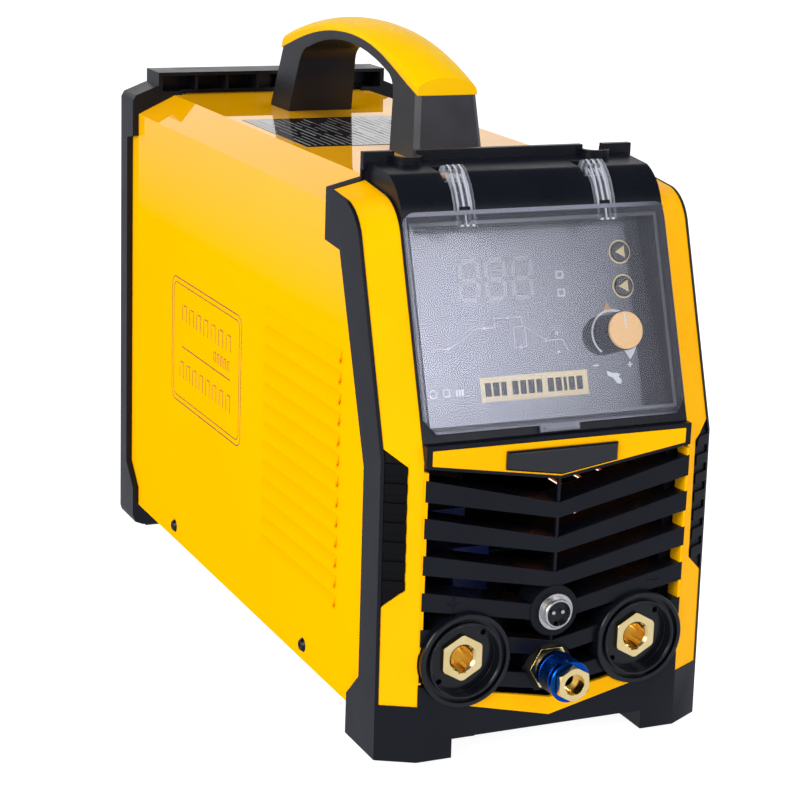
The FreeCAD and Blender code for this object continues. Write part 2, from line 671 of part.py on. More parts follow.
def flip_cover():
    low = COVER_LOW
    cut = 8.0
    r = 6.0
    outline = [
        (-COVER_HALF, low + cut), (-COVER_HALF + cut * 0.8, low), (COVER_HALF - cut * 0.8, low),
        (COVER_HALF, low + cut), (COVER_HALF, COVER_TOP_V), (-COVER_HALF, COVER_TOP_V),
    ]
    y_front = -COVER_GAP - COVER_THICK
    plate = prism_y(outline, y_front, -COVER_GAP)
    top_edges = [e for e in plate.Edges if all(abs(v.Point.z - COVER_TOP_V) < 0.01 for v in e.Vertexes)
                 and abs(e.Vertexes[0].Point.x - e.Vertexes[-1].Point.x) < 0.01]
    plate = plate.makeFillet(r, top_edges)
    hollow = box(-COVER_HALF + 5, COVER_HALF - 5, -COVER_GAP - 0.9, 1, low + 6, COVER_TOP_V - 5)
    plate = plate.cut(hollow)
    plate = plate.cut(box(-COVER_HALF - 1, COVER_HALF + 1, -1.0, 1, COVER_TOP_V - 2, COVER_TOP_V + 1))
    tab = box(-11.5, 11.5, y_front, y_front + 1.4, low - 3.6, low + 0.5)
    lip = box(-9.5, 9.5, y_front - 1.6, y_front, low - 2.6, low - 1.0)
    plate = leaned(fuse_all([plate, tab, lip]))
    arm = prism_x(arm_outline(), ARM_X - ARM_HALF + 0.2, ARM_X + ARM_HALF - 0.2)
    groove = prism_x([(-174.8, 274.0), (-170.6, 285.8), (-165.2, 295.6), (-158.5, 302.0), (-157.0, 299.0),
                      (-162.2, 292.8), (-166.9, 284.4), (-170.4, 275.4), (-172.6, 269.6), (-175.5, 269.6)],
                     ARM_X - 3.6, ARM_X + 3.6)
    arm = arm.cut(groove)
    eye = rod(HINGE_PIN / 2 + RUN_FIT, V(ARM_X - 10, HINGE_Y, HINGE_Z), AX, 20)
    return fuse_all([plate, arm, mirrored(arm)]).cut(both(eye))


def hinge_pins():
    pin = rod(HINGE_PIN / 2, V(ARM_X - 10.5, HINGE_Y, HINGE_Z), AX, 21)
    return group([pin, mirrored(pin)])


# ---- control panel --------------------------------------------------------------
FLOOR_T = 2.0
BOARD_W = 25.0             # front of the control board, behind the face
BOARD_T = 1.6
DISPLAY = (-40.5, 6.5, 79.0, 106.0)


def panel_holes(y0, y1, clear):
    holes = [rod(BUTTON_R + clear, V(BUTTON_X, y0, v), AY, y1 - y0) for v in BUTTON_V]
    holes.append(rod(3.6, V(KNOB_X, y0, KNOB_V), AY, y1 - y0))
    return group(holes)


def control_panel():
    """Tray let into the leaning face; its floor carries the keys and the knob."""
    d = PANEL_DEPTH
    tray = box(-PANEL_HALF, PANEL_HALF, 0.3, d + FLOOR_T, PANEL_LOW, PANEL_HIGH)
    tray = tray.cut(box(-PANEL_HALF + 2, PANEL_HALF - 2, -1, d, PANEL_LOW + 2, PANEL_HIGH - 2))
    x0, x1, v0, v1 = DISPLAY
    tray = tray.cut(box(x0, x1, d - 1, d + 5, v0, v1))
    tray = tray.cut(panel_holes(d - 1, d + 5, 0.1))
    posts = []
    for sx in (-1, 1):
        for v in (PANEL_LOW + 9, PANEL_HIGH - 9):
            posts.append(rod(3.5, V(sx * 60, d + FLOOR_T, v), AY, BOARD_W - d - FLOOR_T))
    return leaned(fuse_all([tray] + posts))


def panel_overlay():
    d = PANEL_DEPTH
    sheet = box(-PANEL_HALF + 2.2, PANEL_HALF - 2.2, d - OVERLAY, d, PANEL_LOW + 2.2, PANEL_HIGH - 2.2)
    return leaned(sheet.cut(panel_holes(d - 1, d + 1, 0.1)))


def display_module():
    x0, x1, v0, v1 = DISPLAY
    return leaned(box(x0, x1, PANEL_DEPTH, BOARD_W, v0, v1))


def control_board():
    """Circuit board behind the panel, with the two tact switches under the keys."""
    board = box(-66, 66, BOARD_W, BOARD_W + BOARD_T, PANEL_LOW + 4, PANEL_HIGH - 4)
    parts = [board]
    for v in BUTTON_V:
        parts.append(rod(2.2, V(BUTTON_X, BOARD_W - 3.4, v), AY, 3.4))
    parts.append(box(-30, 10, BOARD_W + BOARD_T, BOARD_W + BOARD_T + 7, 40, 60))
    return leaned(fuse_all(parts))


def button(v):
    """Round key with a hidden flange that stops it behind the panel's floor."""
    d = PANEL_DEPTH
    back = d + FLOOR_T + 0.3
    cap = rod(BUTTON_R, V(BUTTON_X, d - OVERLAY - 1.4, v), AY, FLOOR_T + OVERLAY + 1.7)
    cap = cap.makeFillet(0.5, [cap.Edges[0], cap.Edges[2]])
    flange = rod(BUTTON_R + 0.9, V(BUTTON_X, back, v), AY, 1.0)
    return leaned(cap.fuse(flange).removeSplitter())


BUSH_R = 3.6
BUSH_FRONT = PANEL_DEPTH + FLOOR_T - 5.0


def encoder_body():
    d = PANEL_DEPTH + FLOOR_T
    case = box(KNOB_X - 6.5, KNOB_X + 6.5, d, BOARD_W, KNOB_V - 7, KNOB_V + 7)
    bush = rod(BUSH_R, V(KNOB_X, BUSH_FRONT, KNOB_V), AY, d - BUSH_FRONT)
    body = case.fuse(bush)
    body = body.cut(rod(3.0 + RUN_FIT, V(KNOB_X, d - 8, KNOB_V), AY, 20))
    return leaned(body.removeSplitter())


def encoder_plunger():
    """Push switch slider that the shaft's end bears on."""
    return leaned(rod(2.8, V(KNOB_X, BOARD_W - 2.0, KNOB_V), AY, 1.2))


def encoder_shaft():
    return leaned(rod(3.0, V(KNOB_X, 4.5, KNOB_V), AY, BOARD_W - 2.0 - 4.5))


KNOB_FRONT = 1.4           # behind the face plane
KNOB_BACK = PANEL_DEPTH - 1.6


def knob():
    skirt = rod(KNOB_R, V(KNOB_X, KNOB_FRONT + 1.4, KNOB_V), AY, KNOB_BACK - KNOB_FRONT - 1.4)
    skirt = skirt.cut(rod(3.0, V(KNOB_X, 4.5, KNOB_V), AY, 30))
    skirt = skirt.cut(tube(8.9, 4.9, V(KNOB_X, 6.5, KNOB_V), AY, 20))
    bush_room = BUSH_FRONT - KNOB_PUSH - 0.4
    skirt = skirt.cut(rod(BUSH_R + 0.3, V(KNOB_X, bush_room, KNOB_V), AY, 20))
    return leaned(skirt)


def knob_cap():
    return leaned(rod(KNOB_R - 0.5, V(KNOB_X, KNOB_FRONT, KNOB_V), AY, 1.4))


# ---- steel case -----------------------------------------------------------------
def louvre(z):
    """Pressed louvre on the right side: a slanted blister with its mouth below."""
    y0, y1 = LOUVRE_Y
    x = CASE_HALF
    blister = prism_y([(x - CASE_T, z + 7.0), (x, z + 7.0), (x + 1.9, z + 1.6), (x + 1.9, z),
                       (x + 1.2, z), (x + 1.2, z + 1.2), (x - CASE_T, z + 5.4)], y0, y1)
    mouth = box(x - CASE_T - 1, x + 0.01, y0 + 2, y1 - 2, z, z + 3.0)
    return blister, mouth


def top_cover():
    sheet = prism_y(case_outline(), -200, CASE_REAR)
    inside = prism_y([(x * (CASE_HALF - CASE_T) / CASE_HALF if abs(x) > CASE_TOP_HALF else x * 0.992,
                       z - CASE_T if z > CASE_LOW else z - 5) for x, z in case_outline()],
                     -210, CASE_REAR + 10)
    sheet = sheet.cut(inside).cut(case_front_cut())
    blisters = []
    mouths = []
    for k in range(LOUVRES):
        blister, mouth = louvre(LOUVRE_Z + LOUVRE_PITCH * k)
        blisters += [blister, mirrored(blister)]
        mouths += [mouth, mirrored(mouth)]
    sheet = sheet.cut(group(mouths))
    return sheet.multiFuse(blisters).removeSplitter()


def base_tray():
    y0 = -205.0
    y1 = REAR_PANEL_Y
    floor = box(-92.3, 92.3, y0, y1, FLOOR_TOP, FLOOR_TOP + 1.5)
    floor = floor.cut(prism_z([(80, y0 - 5), (100, y0 - 5), (100, -184), (92.3, -184)], 0, 40))
    floor = floor.cut(prism_z([(-80, y0 - 5), (-100, y0 - 5), (-100, -184), (-92.3, -184)], 0, 40))
    flanges = both(box(92.3 - 1.5, 92.3, -150.0, y1, FLOOR_TOP, 34.0))
    slots = []
    for k in range(7):
        for sx in (-1, 1):
            slots.append(box(sx * 45 - 28, sx * 45 + 28, -30 + 24 * k, -26 + 24 * k, 0, 40))
    return floor.fuse(flanges).removeSplitter().cut(group(slots)).cut(case_screw_holes())


CASE_SCREWS = [(-92.0, 21.0), (132.0, 21.0)]


def case_screw_holes():
    holes = []
    for y, z in CASE_SCREWS:
        holes.append(rod(2.0, V(-120, y, z), AX, 240))
    return group(holes)


def cover_screws():
    """Four side screws and two top screws that hold the case down."""
    screws = []
    for y, z in CASE_SCREWS:
        head = Part.makeCone(4.2, 2.8, 1.8, V(CASE_HALF, y, z), AX)
        shank = rod(2.0, V(CASE_HALF - 7.0, y, z), AX, 7.0)
        screw = head.fuse(shank)
        screw = screw.cut(box(CASE_HALF + 0.9, CASE_HALF + 3, y - 2.0, y + 2.0, z - 0.4, z + 0.4))
        screw = screw.cut(box(CASE_HALF + 0.9, CASE_HALF + 3, y - 0.4, y + 0.4, z - 2.0, z + 2.0))
        screws += [screw, mirrored(screw)]
    for x in (-56.0, 56.0):
        y = RIDGE_Y + 7.0
        head = Part.makeCone(4.0, 2.6, 1.8, V(x, y, CASE_TOP), AZ)
        screw = head.fuse(rod(2.0, V(x, y, CASE_TOP - 6.0), AZ, 6.0))
        screw = screw.cut(box(x - 1.9, x + 1.9, y - 0.4, y + 0.4, CASE_TOP + 0.9, CASE_TOP + 3))
        screws.append(screw.cut(box(x - 0.4, x + 0.4, y - 1.9, y + 1.9, CASE_TOP + 0.9, CASE_TOP + 3)))
    return group(screws)


def top_screw_holes():
    return group([rod(2.0, V(x, RIDGE_Y + 7.0, CASE_TOP - 20), AZ, 40) for x in (-56.0, 56.0)])


# ---- handle -------------------------------------------------------------------------
HANDLE_SCREW_Y = (-45.5, 145.0)


def handle_envelope():
    """Both legs and the arch between them from the side, tapered in front view."""
    z0 = CASE_TOP
    a = [V(-30, -63.4, z0), V(-30, -53.3, 345.0), V(-30, -53.3, 370.0), V(-30, 145.8, 370.0),
         V(-30, 145.8, 345.0), V(-30, 163.5, z0), V(-30, 129.4, z0), V(-30, 119.6, 320.0),
         V(-30, 106.0, 332.2), V(-30, 44.0, 342.4), V(-30, -14.0, 332.6), V(-30, -25.0, 320.0),
         V(-30, -28.4, z0)]
    edges = [line(a[k], a[k + 1]) for k in range(7)]
    edges += [arc(a[7], V(-30, 115.5, 327.6), a[8]), arc(a[8], a[9], a[10]),
              arc(a[10], V(-30, -21.4, 328.0), a[11]), line(a[11], a[12]), line(a[12], a[0])]
    side = Part.Face(Part.Wire(edges)).extrude(V(60, 0, 0))
    front = prism_y([(-HANDLE_FOOT_HALF, z0), (HANDLE_FOOT_HALF, z0), (HANDLE_HALF, 328.0),
                     (HANDLE_HALF, 380.0), (-HANDLE_HALF, 380.0), (-HANDLE_HALF, 328.0)], -80, 180)
    return side.common(front)


def handle_parting():
    """Everything below the line where the yellow shell sits on the black arch."""
    knots = [(-75.0, 319.2), (-58.0, 323.6), (-32.6, 332.1), (-2.1, 342.0), (33.5, 347.2),
             (72.8, 345.9), (112.0, 338.6), (151.6, 326.7), (172.0, 320.6)]
    curve = Part.BSplineCurve()
    curve.interpolate([V(-40, y, z) for y, z in knots])
    first = V(-40, knots[0][0], knots[0][1])
    last = V(-40, knots[-1][0], knots[-1][1])
    low = [V(-40, last.y, 250), V(-40, first.y, 250)]
    wire = Part.Wire([curve.toShape(), line(last, low[0]), line(low[0], low[1]), line(low[1], first)])
    return Part.Face(wire).extrude(V(80, 0, 0))


def handle_barrel():
    """Crowned ring with round rims; it gives the yellow shell its outer surface."""
    r = HANDLE_RIM
    axis_z = HANDLE_TOP - HANDLE_ARC_R
    crown_z = HANDLE_TOP - HANDLE_CROWN_R
    rim_x = HANDLE_HALF - r
    rim_z = crown_z + math.sqrt((HANDLE_CROWN_R - r) ** 2 - rim_x ** 2)
    tilt = math.atan2(rim_x, rim_z - crown_z)
    half = (math.pi / 2 + tilt) / 2

    def at(x, z):
        return V(x, HANDLE_ARC_Y, z)

    def rim(side, angle):
        return at(side * (rim_x + r * math.sin(angle)), rim_z + r * math.cos(angle))

    low = 300.0
    edges = [
        line(at(-HANDLE_HALF, low), rim(-1, math.pi / 2)),
        arc(rim(-1, math.pi / 2), rim(-1, half), rim(-1, tilt)),
        arc(rim(-1, tilt), at(0, HANDLE_TOP), rim(1, tilt)),
        arc(rim(1, tilt), rim(1, half), rim(1, math.pi / 2)),
        line(rim(1, math.pi / 2), at(HANDLE_HALF, low)),
        line(at(HANDLE_HALF, low), at(-HANDLE_HALF, low)),
    ]
    return Part.Face(Part.Wire(edges)).revolve(V(0, HANDLE_ARC_Y, axis_z), AX, 360)


def handle_body():
    """Black arch with two legs; the legs' outer upright edges are bevelled."""
    body = handle_envelope().common(handle_parting())
    outer = []
    for e in body.Edges:
        ends = [v.Point for v in e.Vertexes]
        upright = 28 < e.Length < 42 and abs(ends[0].z - ends[-1].z) > 25
        if upright and (max(p.y for p in ends) < -40 or min(p.y for p in ends) > 145):
            outer.append(e)
    body = body.makeChamfer(3.0, outer)
    holes = [rod(M4 / 2, V(0, y, CASE_TOP - 1), AZ, 24) for y in HANDLE_SCREW_Y]
    return body.cut(group(holes))


def handle_cover():
    return handle_envelope().cut(handle_parting()).common(handle_barrel())


def handle_screw_holes():
    return group([rod(M4 / 2, V(0, y, CASE_TOP - 20), AZ, 40) for y in HANDLE_SCREW_Y])


# ---- rear bezel and panel -------------------------------------------------------------
RIDGE_BACK_HALF = 80.0
RIDGE_BACK_TOP = 304.0
REAR_ROUND = 5.0
REAR_FOOT_Y = 208.5        # front of the rear feet
REAR_MID_Y = 223.5         # front edge of the side walls between foot and shoulder
SWITCH_X = -58.0
SWITCH_Z = 62.0
INLET_X = 60.0
INLET_Z = 62.0
GLAND_X = 0.0
GLAND_Z = 62.0
PANEL_OUT = REAR_PANEL_Y + REAR_PANEL_T


def rear_outline(inset):
    """Half-octagon shoulders and rounded feet, as a closed outline in front view."""
    i = inset
    right = [
        (90.5 - i, FOOT_Z), (95.6 - i, -0.4), (REAR_HALF - i, 4.6), (REAR_HALF - i, 286.0 - i * 0.5),
        (95.5 - i, 289.6 - i * 0.8), (80.7 - i * 0.4, 295.4 - i),
    ]
    return right + [(-x, z) for x, z in reversed(right)]


def rounded_back(block):
    """Round the rear edges of an upright block, all but those along its foot."""
    rear = []
    for e in block.Edges:
        if all(abs(v.Point.y - REAR_BACK) < 0.01 for v in e.Vertexes):
            if max(v.Point.z for v in e.Vertexes) > 20 and e.Length > 1:
                rear.append(e)
    return block.makeFillet(REAR_ROUND, rear)


def rear_bezel():
    block = prism_y(rear_outline(0.0), REAR_FOOT_Y, REAR_BACK)
    ridge = box(-RIDGE_BACK_HALF, RIDGE_BACK_HALF, REAR_FRONT, REAR_BACK, 280.0, RIDGE_BACK_TOP)
    ridge = ridge.makeFillet(REAR_ROUND, [e for e in ridge.Edges if e.CenterOfMass.y > REAR_BACK - 0.1
                                          and e.CenterOfMass.z > 290])
    body = rounded_back(block).fuse(ridge)
    # the case and the chassis run through the front part up to the rear panel
    body = body.cut(prism_y(case_outline(), REAR_FOOT_Y - 10, PANEL_OUT))
    # a lip behind the panel, and a rim that stands clear round it
    body = body.cut(prism_y(case_outline(7.0), PANEL_OUT - 1, REAR_BACK + 10))
    rim = prism_y([(x, max(z, FLOOR_TOP + 1.5)) for x, z in rear_outline(3.6)], PANEL_OUT + 3.0, REAR_BACK + 10)
    body = body.cut(rim)
    body = body.cut(box(-FOOT_INNER, FOOT_INNER, 100, 300, FOOT_Z - 5, ARCH_Z))
    # front edge of the side walls: forward at the foot and the shoulder, set back between
    step = prism_x([(190, 24.0), (REAR_FOOT_Y, 24.0), (REAR_MID_Y, 39.0), (REAR_MID_Y, 260.9),
                    (REAR_FRONT, 263.2), (REAR_FRONT, 320.0), (190, 320.0)], -120, 120)
    body = body.cut(step)
    # channel along the ridge, open to the front, with cross ribs
    half = RIDGE_BACK_HALF - 2.8
    channel = box(-half, half, 205.0, 230.5, 291.8, RIDGE_BACK_TOP - 2.2)
    ribs = [box(x - 0.8, x + 0.8, REAR_FRONT + 1.5, 231.0, 291.0, RIDGE_BACK_TOP - 1)
            for x in (-53.5, -32.1, -10.7, 10.7, 32.1, 53.5)]
    sill = box(-64.0, 64.0, 205.0, 219.5, CASE_TOP, 292.0)
    body = body.cut(channel.cut(group(ribs))).cut(sill)
    return max(body.Solids, key=lambda s: s.Volume)


def rear_panel():
    outline = [(x * (CASE_HALF - CASE_T) / CASE_HALF if abs(x) > CASE_TOP_HALF else x * 0.992,
                z - CASE_T if z > CASE_LOW else FLOOR_TOP) for x, z in case_outline()]
    plate = prism_y(outline, REAR_PANEL_Y, REAR_PANEL_Y + REAR_PANEL_T)
    plate = plate.cut(rod(FAN_SIZE / 2 - 2, V(0, REAR_PANEL_Y - 5, FAN_Z), AY, 12))
    for sx in (-1, 1):
        for sz in (-1, 1):
            plate = plate.cut(rod(M4 / 2, V(sx * FAN_HOLE, REAR_PANEL_Y - 5, FAN_Z + sz * FAN_HOLE), AY, 12))
    for x, z, r in ((SWITCH_X, SWITCH_Z, 0), (INLET_X, INLET_Z, 8.0), (GLAND_X, GLAND_Z, 10.0)):
        if r:
            plate = plate.cut(rod(r, V(x, REAR_PANEL_Y - 5, z), AY, 12))
        else:
            plate = plate.cut(box(x - 10.5, x + 10.5, REAR_PANEL_Y - 5, REAR_PANEL_Y + 5, z - 14, z + 14))
    return plate


def fan_frame():
    half = FAN_SIZE / 2
    y0 = REAR_PANEL_Y - FAN_DEPTH
    frame = box(-half, half, y0, REAR_PANEL_Y, FAN_Z - half, FAN_Z + half)
    frame = frame.cut(rod(half - 2.0, V(0, y0 - 1, FAN_Z), AY, FAN_DEPTH + 2))
    hub = rod(19.0, V(0, y0, FAN_Z), AY, 3.0)
    bars = []
    for k in range(4):
        bar = box(15.0, half - 1.0, y0, y0 + 3.0, FAN_Z - 2.5, FAN_Z + 2.5)
        bar.rotate(V(0, 0, FAN_Z), AY, 45 + 90 * k)
        bars.append(bar)
    body = fuse_all([frame, hub] + bars)
    post = rod(2.0, V(0, y0 + 3.0, FAN_Z), AY, 14.0)
    body = body.fuse(post)
    for sx in (-1, 1):
        for sz in (-1, 1):
            body = body.cut(rod(M4 / 2, V(sx * FAN_HOLE, y0 - 1, FAN_Z + sz * FAN_HOLE), AY, FAN_DEPTH + 2))
    return body.removeSplitter()


def fan_rotor():
    y0 = REAR_PANEL_Y - FAN_DEPTH + 4.0
    hub = rod(18.0, V(0, y0, FAN_Z), AY, 17.0)
    hub = hub.cut(rod(2.0 + RUN_FIT, V(0, y0 - 1, FAN_Z), AY, 14.6))
    blades = []
    for k in range(7):
        blade = box(16.5, 55.0, y0 + 1.0, y0 + 16.5, FAN_Z - 1.0, FAN_Z + 1.0)
        blade.rotate(V(30, y0 + 8.5, FAN_Z), AX, 32)
        blade = blade.common(tube(55.5, 16.5, V(0, y0, FAN_Z), AY, 17.0))
        blade.rotate(V(0, 0, FAN_Z), AY, 360 / 7 * k)
        blades.append(blade)
    return fuse_all([hub] + blades)


def fan_guard():
    """Wire guard outside the rear panel: rings on a cross of two bars."""
    y = PANEL_OUT + 1.5
    parts = []
    for r in (14.0, 24.0, 34.0, 44.0, 54.0):
        parts.append(tube(r + 0.9, r - 0.9, V(0, y, FAN_Z), AY, 1.8))
    for k in range(2):
        bar = box(-74.0, 74.0, PANEL_OUT, y + 0.9, FAN_Z - 1.2, FAN_Z + 1.2)
        bar.rotate(V(0, 0, FAN_Z), AY, 45 + 90 * k)
        parts.append(bar)
    for sx in (-1, 1):
        for sz in (-1, 1):
            parts.append(tube(5.0, M4 / 2, V(sx * FAN_HOLE, PANEL_OUT, FAN_Z + sz * FAN_HOLE), AY, 1.6))
    body = fuse_all(parts)
    for sx in (-1, 1):
        for sz in (-1, 1):
            centre = V(sx * FAN_HOLE, PANEL_OUT - 1, FAN_Z + sz * FAN_HOLE)
            body = body.cut(rod(M4 / 2, centre, AY, 9))
            body = body.cut(rod(PAN_HEAD_R + 0.2, centre + V(0, 2.6, 0), AY, 9))
    return body


def pan_screw():
    """M4 pan head screw, its head's seat at the origin, pointing along +Y."""
    screw = rod(M4 / 2, V(0, 0, 0), AY, 20.0).fuse(rod(PAN_HEAD_R, V(0, -2.4, 0), AY, 2.4))
    screw = screw.cut(box(-2.2, 2.2, -3.0, -1.0, -0.4, 0.4))
    return screw.cut(box(-0.4, 0.4, -3.0, -1.0, -2.2, 2.2)).removeSplitter()


def pan_screws():
    """Four through the fan and its guard from behind, two up into the handle's feet."""
    screws = []
    for sx in (-1, 1):
        for sz in (-1, 1):
            screw = pan_screw()
            screw.rotate(V(0, 0, 0), AZ, 180)
            screw.translate(V(sx * FAN_HOLE, PANEL_OUT + 1.6, FAN_Z + sz * FAN_HOLE))
            screws.append(screw)
    for y in HANDLE_SCREW_Y:
        screw = pan_screw()
        screw.rotate(V(0, 0, 0), AX, 90)
        screw.translate(V(0, y, CASE_TOP - CASE_T))
        screws.append(screw)
    return group(screws)


ROCKER_PIVOT_Y = PANEL_OUT + 0.5


def power_switch_housing():
    rim = box(SWITCH_X - 12.5, SWITCH_X + 12.5, PANEL_OUT, PANEL_OUT + 2.2, SWITCH_Z - 16.5, SWITCH_Z + 16.5)
    shell = box(SWITCH_X - 10.5, SWITCH_X + 10.5, PANEL_OUT - 22, PANEL_OUT, SWITCH_Z - 14, SWITCH_Z + 14)
    body = rim.fuse(shell)
    body = body.cut(box(SWITCH_X - 8.5, SWITCH_X + 8.5, PANEL_OUT - 12, PANEL_OUT + 5, SWITCH_Z - 12.5, SWITCH_Z + 12.5))
    for sz in (-1, 1):
        body = body.fuse(box(SWITCH_X - 3, SWITCH_X + 3, PANEL_OUT - 30, PANEL_OUT - 22, SWITCH_Z + sz * 7 - 0.4,
                             SWITCH_Z + sz * 7 + 0.4))
    pivot = rod(1.5, V(SWITCH_X - 9.0, ROCKER_PIVOT_Y - 4, SWITCH_Z), AX, 18.0)
    return body.fuse(pivot).removeSplitter()


def power_switch_rocker():
    y = ROCKER_PIVOT_Y
    outline = [(y + 3.4, SWITCH_Z - 11.4), (y + 1.4, SWITCH_Z), (y + 3.4, SWITCH_Z + 11.4), (y - 5.5, SWITCH_Z + 9.5),
               (y - 8.0, SWITCH_Z + 3.0), (y - 8.0, SWITCH_Z - 3.0), (y - 5.5, SWITCH_Z - 9.5)]
    rocker = prism_x(outline, SWITCH_X - 8.2, SWITCH_X + 8.2)
    bore = rod(1.5 + RUN_FIT, V(SWITCH_X - 10, y - 4, SWITCH_Z), AX, 20.0)
    return rocker.cut(bore)


def gas_inlet():
    """Hose barb and its seating hexagon on the rear panel."""
    y = PANEL_OUT
    profile = [(3.0, y - 14), (8.0, y - 14), (8.0, y), (11.0, y), (11.0, y + 3.0), (6.0, y + 5.0)]
    z = y + 8.0
    for k in range(4):
        profile += [(5.2, z + 4.4 * k), (4.2, z + 4.4 * k + 3.8)]
    profile += [(3.6, REAR_TIP_Y), (3.0, REAR_TIP_Y)]
    body = turned(profile, INLET_X, INLET_Z)
    return body.fuse(hexagon((INLET_X, INLET_Z), 19.0, y + 0.2, y + 5.0)).removeSplitter().cut(
        rod(3.0, V(INLET_X, y - 20, INLET_Z), AY, 60))


def gas_valve():
    """Solenoid valve behind the inlet, with an outlet stub; the core moves inside."""
    y = PANEL_OUT - 14
    block = box(INLET_X - 12, INLET_X + 12, y - 26, y, INLET_Z - 11, INLET_Z + 11)
    coil = rod(13.0, V(INLET_X, y - 13, INLET_Z + 11), AZ, 34.0)
    stub = rod(5.0, V(INLET_X, y - 40, INLET_Z), AY, 14.0)
    body = fuse_all([block, coil, stub])
    body = body.cut(rod(4.6, V(INLET_X, y - 13, INLET_Z - 4), AZ, 44.0))
    return body


def valve_core():
    y = PANEL_OUT - 14
    return rod(4.5, V(INLET_X, y - 13, INLET_Z - 3.9), AZ, 34.0)


def mains_gland():
    y = PANEL_OUT
    profile = [(6.0, y - 10), (10.0, y - 10), (10.0, y), (13.5, y), (13.5, y + 4), (11.5, y + 5), (11.5, y + 12),
               (10.0, y + 16.5), (7.2, y + 18.5), (6.0, y + 18.5)]
    body = turned(profile, GLAND_X, GLAND_Z)
    nut = hexagon((GLAND_X, GLAND_Z), 25.0, y + 5.0, y + 11.0)
    return body.fuse(nut).removeSplitter().cut(rod(6.0, V(GLAND_X, y - 20, GLAND_Z), AY, 60))


# ---- electronics ------------------------------------------------------------------------
TRAY_TOP = FLOOR_TOP + 1.5
BOARD_Z = 66.0


def heatsinks():
    sinks = []
    for sx in (-1, 1):
        parts = [box(22, 80, -60, 90, 58, BOARD_Z)]
        for k in range(8):
            parts.append(box(22 + 8.0 * k, 24 + 8.0 * k, -60, 90, TRAY_TOP, 58))
        sink = fuse_all(parts)
        sinks.append(sink if sx > 0 else mirrored(sink))
    return group(sinks)


def main_board():
    board = box(-82, 82, -100, 150, BOARD_Z, BOARD_Z + 2)
    for sx in (-1, 1):
        board = board.cut(rod(3.0, V(sx * 74, 140, BOARD_Z - 1), AZ, 4))
    return board


def capacitors():
    cans = []
    for x in (-57, -19, 19, 57):
        can = rod(17.0, V(x, 122, BOARD_Z + 2), AZ, 46.0)
        cans.append(can.makeFillet(2.0, [can.Edges[0]]))
    return group(cans)


def transformer():
    """Output transformer: ferrite frame with a wound coil on its middle leg."""
    z = BOARD_Z + 2
    core = box(-34, 34, -28, 20, z, z + 62)
    core = core.cut(box(-24, -9, -40, 40, z + 11, z + 51)).cut(box(9, 24, -40, 40, z + 11, z + 51))
    coil = box(-23, 23, -40, 32, z + 12, z + 50).cut(box(-9, 9, -28, 20, z, z + 62))
    coil = coil.cut(core)
    return group([core] + coil.Solids)


def hf_unit():
    """Arc starter: a potted block on an upright board near the front louvres."""
    board = box(-41, -11, -124, -122, TRAY_TOP, 104)
    block = box(-38, -15, -165, -124, 60, 96)
    block = block.makeFillet(2.0, [e for e in block.Edges if e.Length > 30])
    return board.fuse(block)


def output_choke():
    """Toroidal output choke on the chassis floor behind the sockets."""
    ring = Part.makeTorus(19.0, 9.0, V(0, -125, 42), AX)
    foot = box(-9, 9, -140, -110, TRAY_TOP, 17.5)
    return ring.fuse(foot)


# ---- feet and label -----------------------------------------------------------------------
def foot_pads():
    """Rubber pads under the four feet, with cross ribs that take the weight."""
    pads = []
    pitch = 7.4
    for y0, y1 in ((-203.0, -165.0), (211.5, 238.5)):
        parts = [box(60.0, 89.0, y0, y1, FOOT_Z - 1.3, FOOT_Z)]
        for k in range(int((y1 - y0) / pitch)):
            ry = y0 + 1.2 + pitch * k
            parts.append(box(62.0, 87.0, ry, ry + 3.6, -PAD_DROP, FOOT_Z - 1.3))
        pad = fuse_all(parts)
        if y0 < 0:
            pad = pad.cut(prism_z([(78, y0 - 4), (100, y0 - 4), (100, y0 + 10)], -20, 20))
        pads += [pad, mirrored(pad)]
    return group(pads)


def rating_label():
    return box(-64.0, 43.0, -8.0, 98.0, CASE_TOP, CASE_TOP + 0.25)


# ---- build and write -------------------------------------------------------------------
trim_r = yellow_trim()
grip_r = grip()
front_bezel_solid = front_bezel()
case = top_cover().cut(case_screw_holes()).cut(top_screw_holes()).cut(handle_screw_holes())
front_bezel_solid = front_bezel_solid.cut(top_screw_holes())

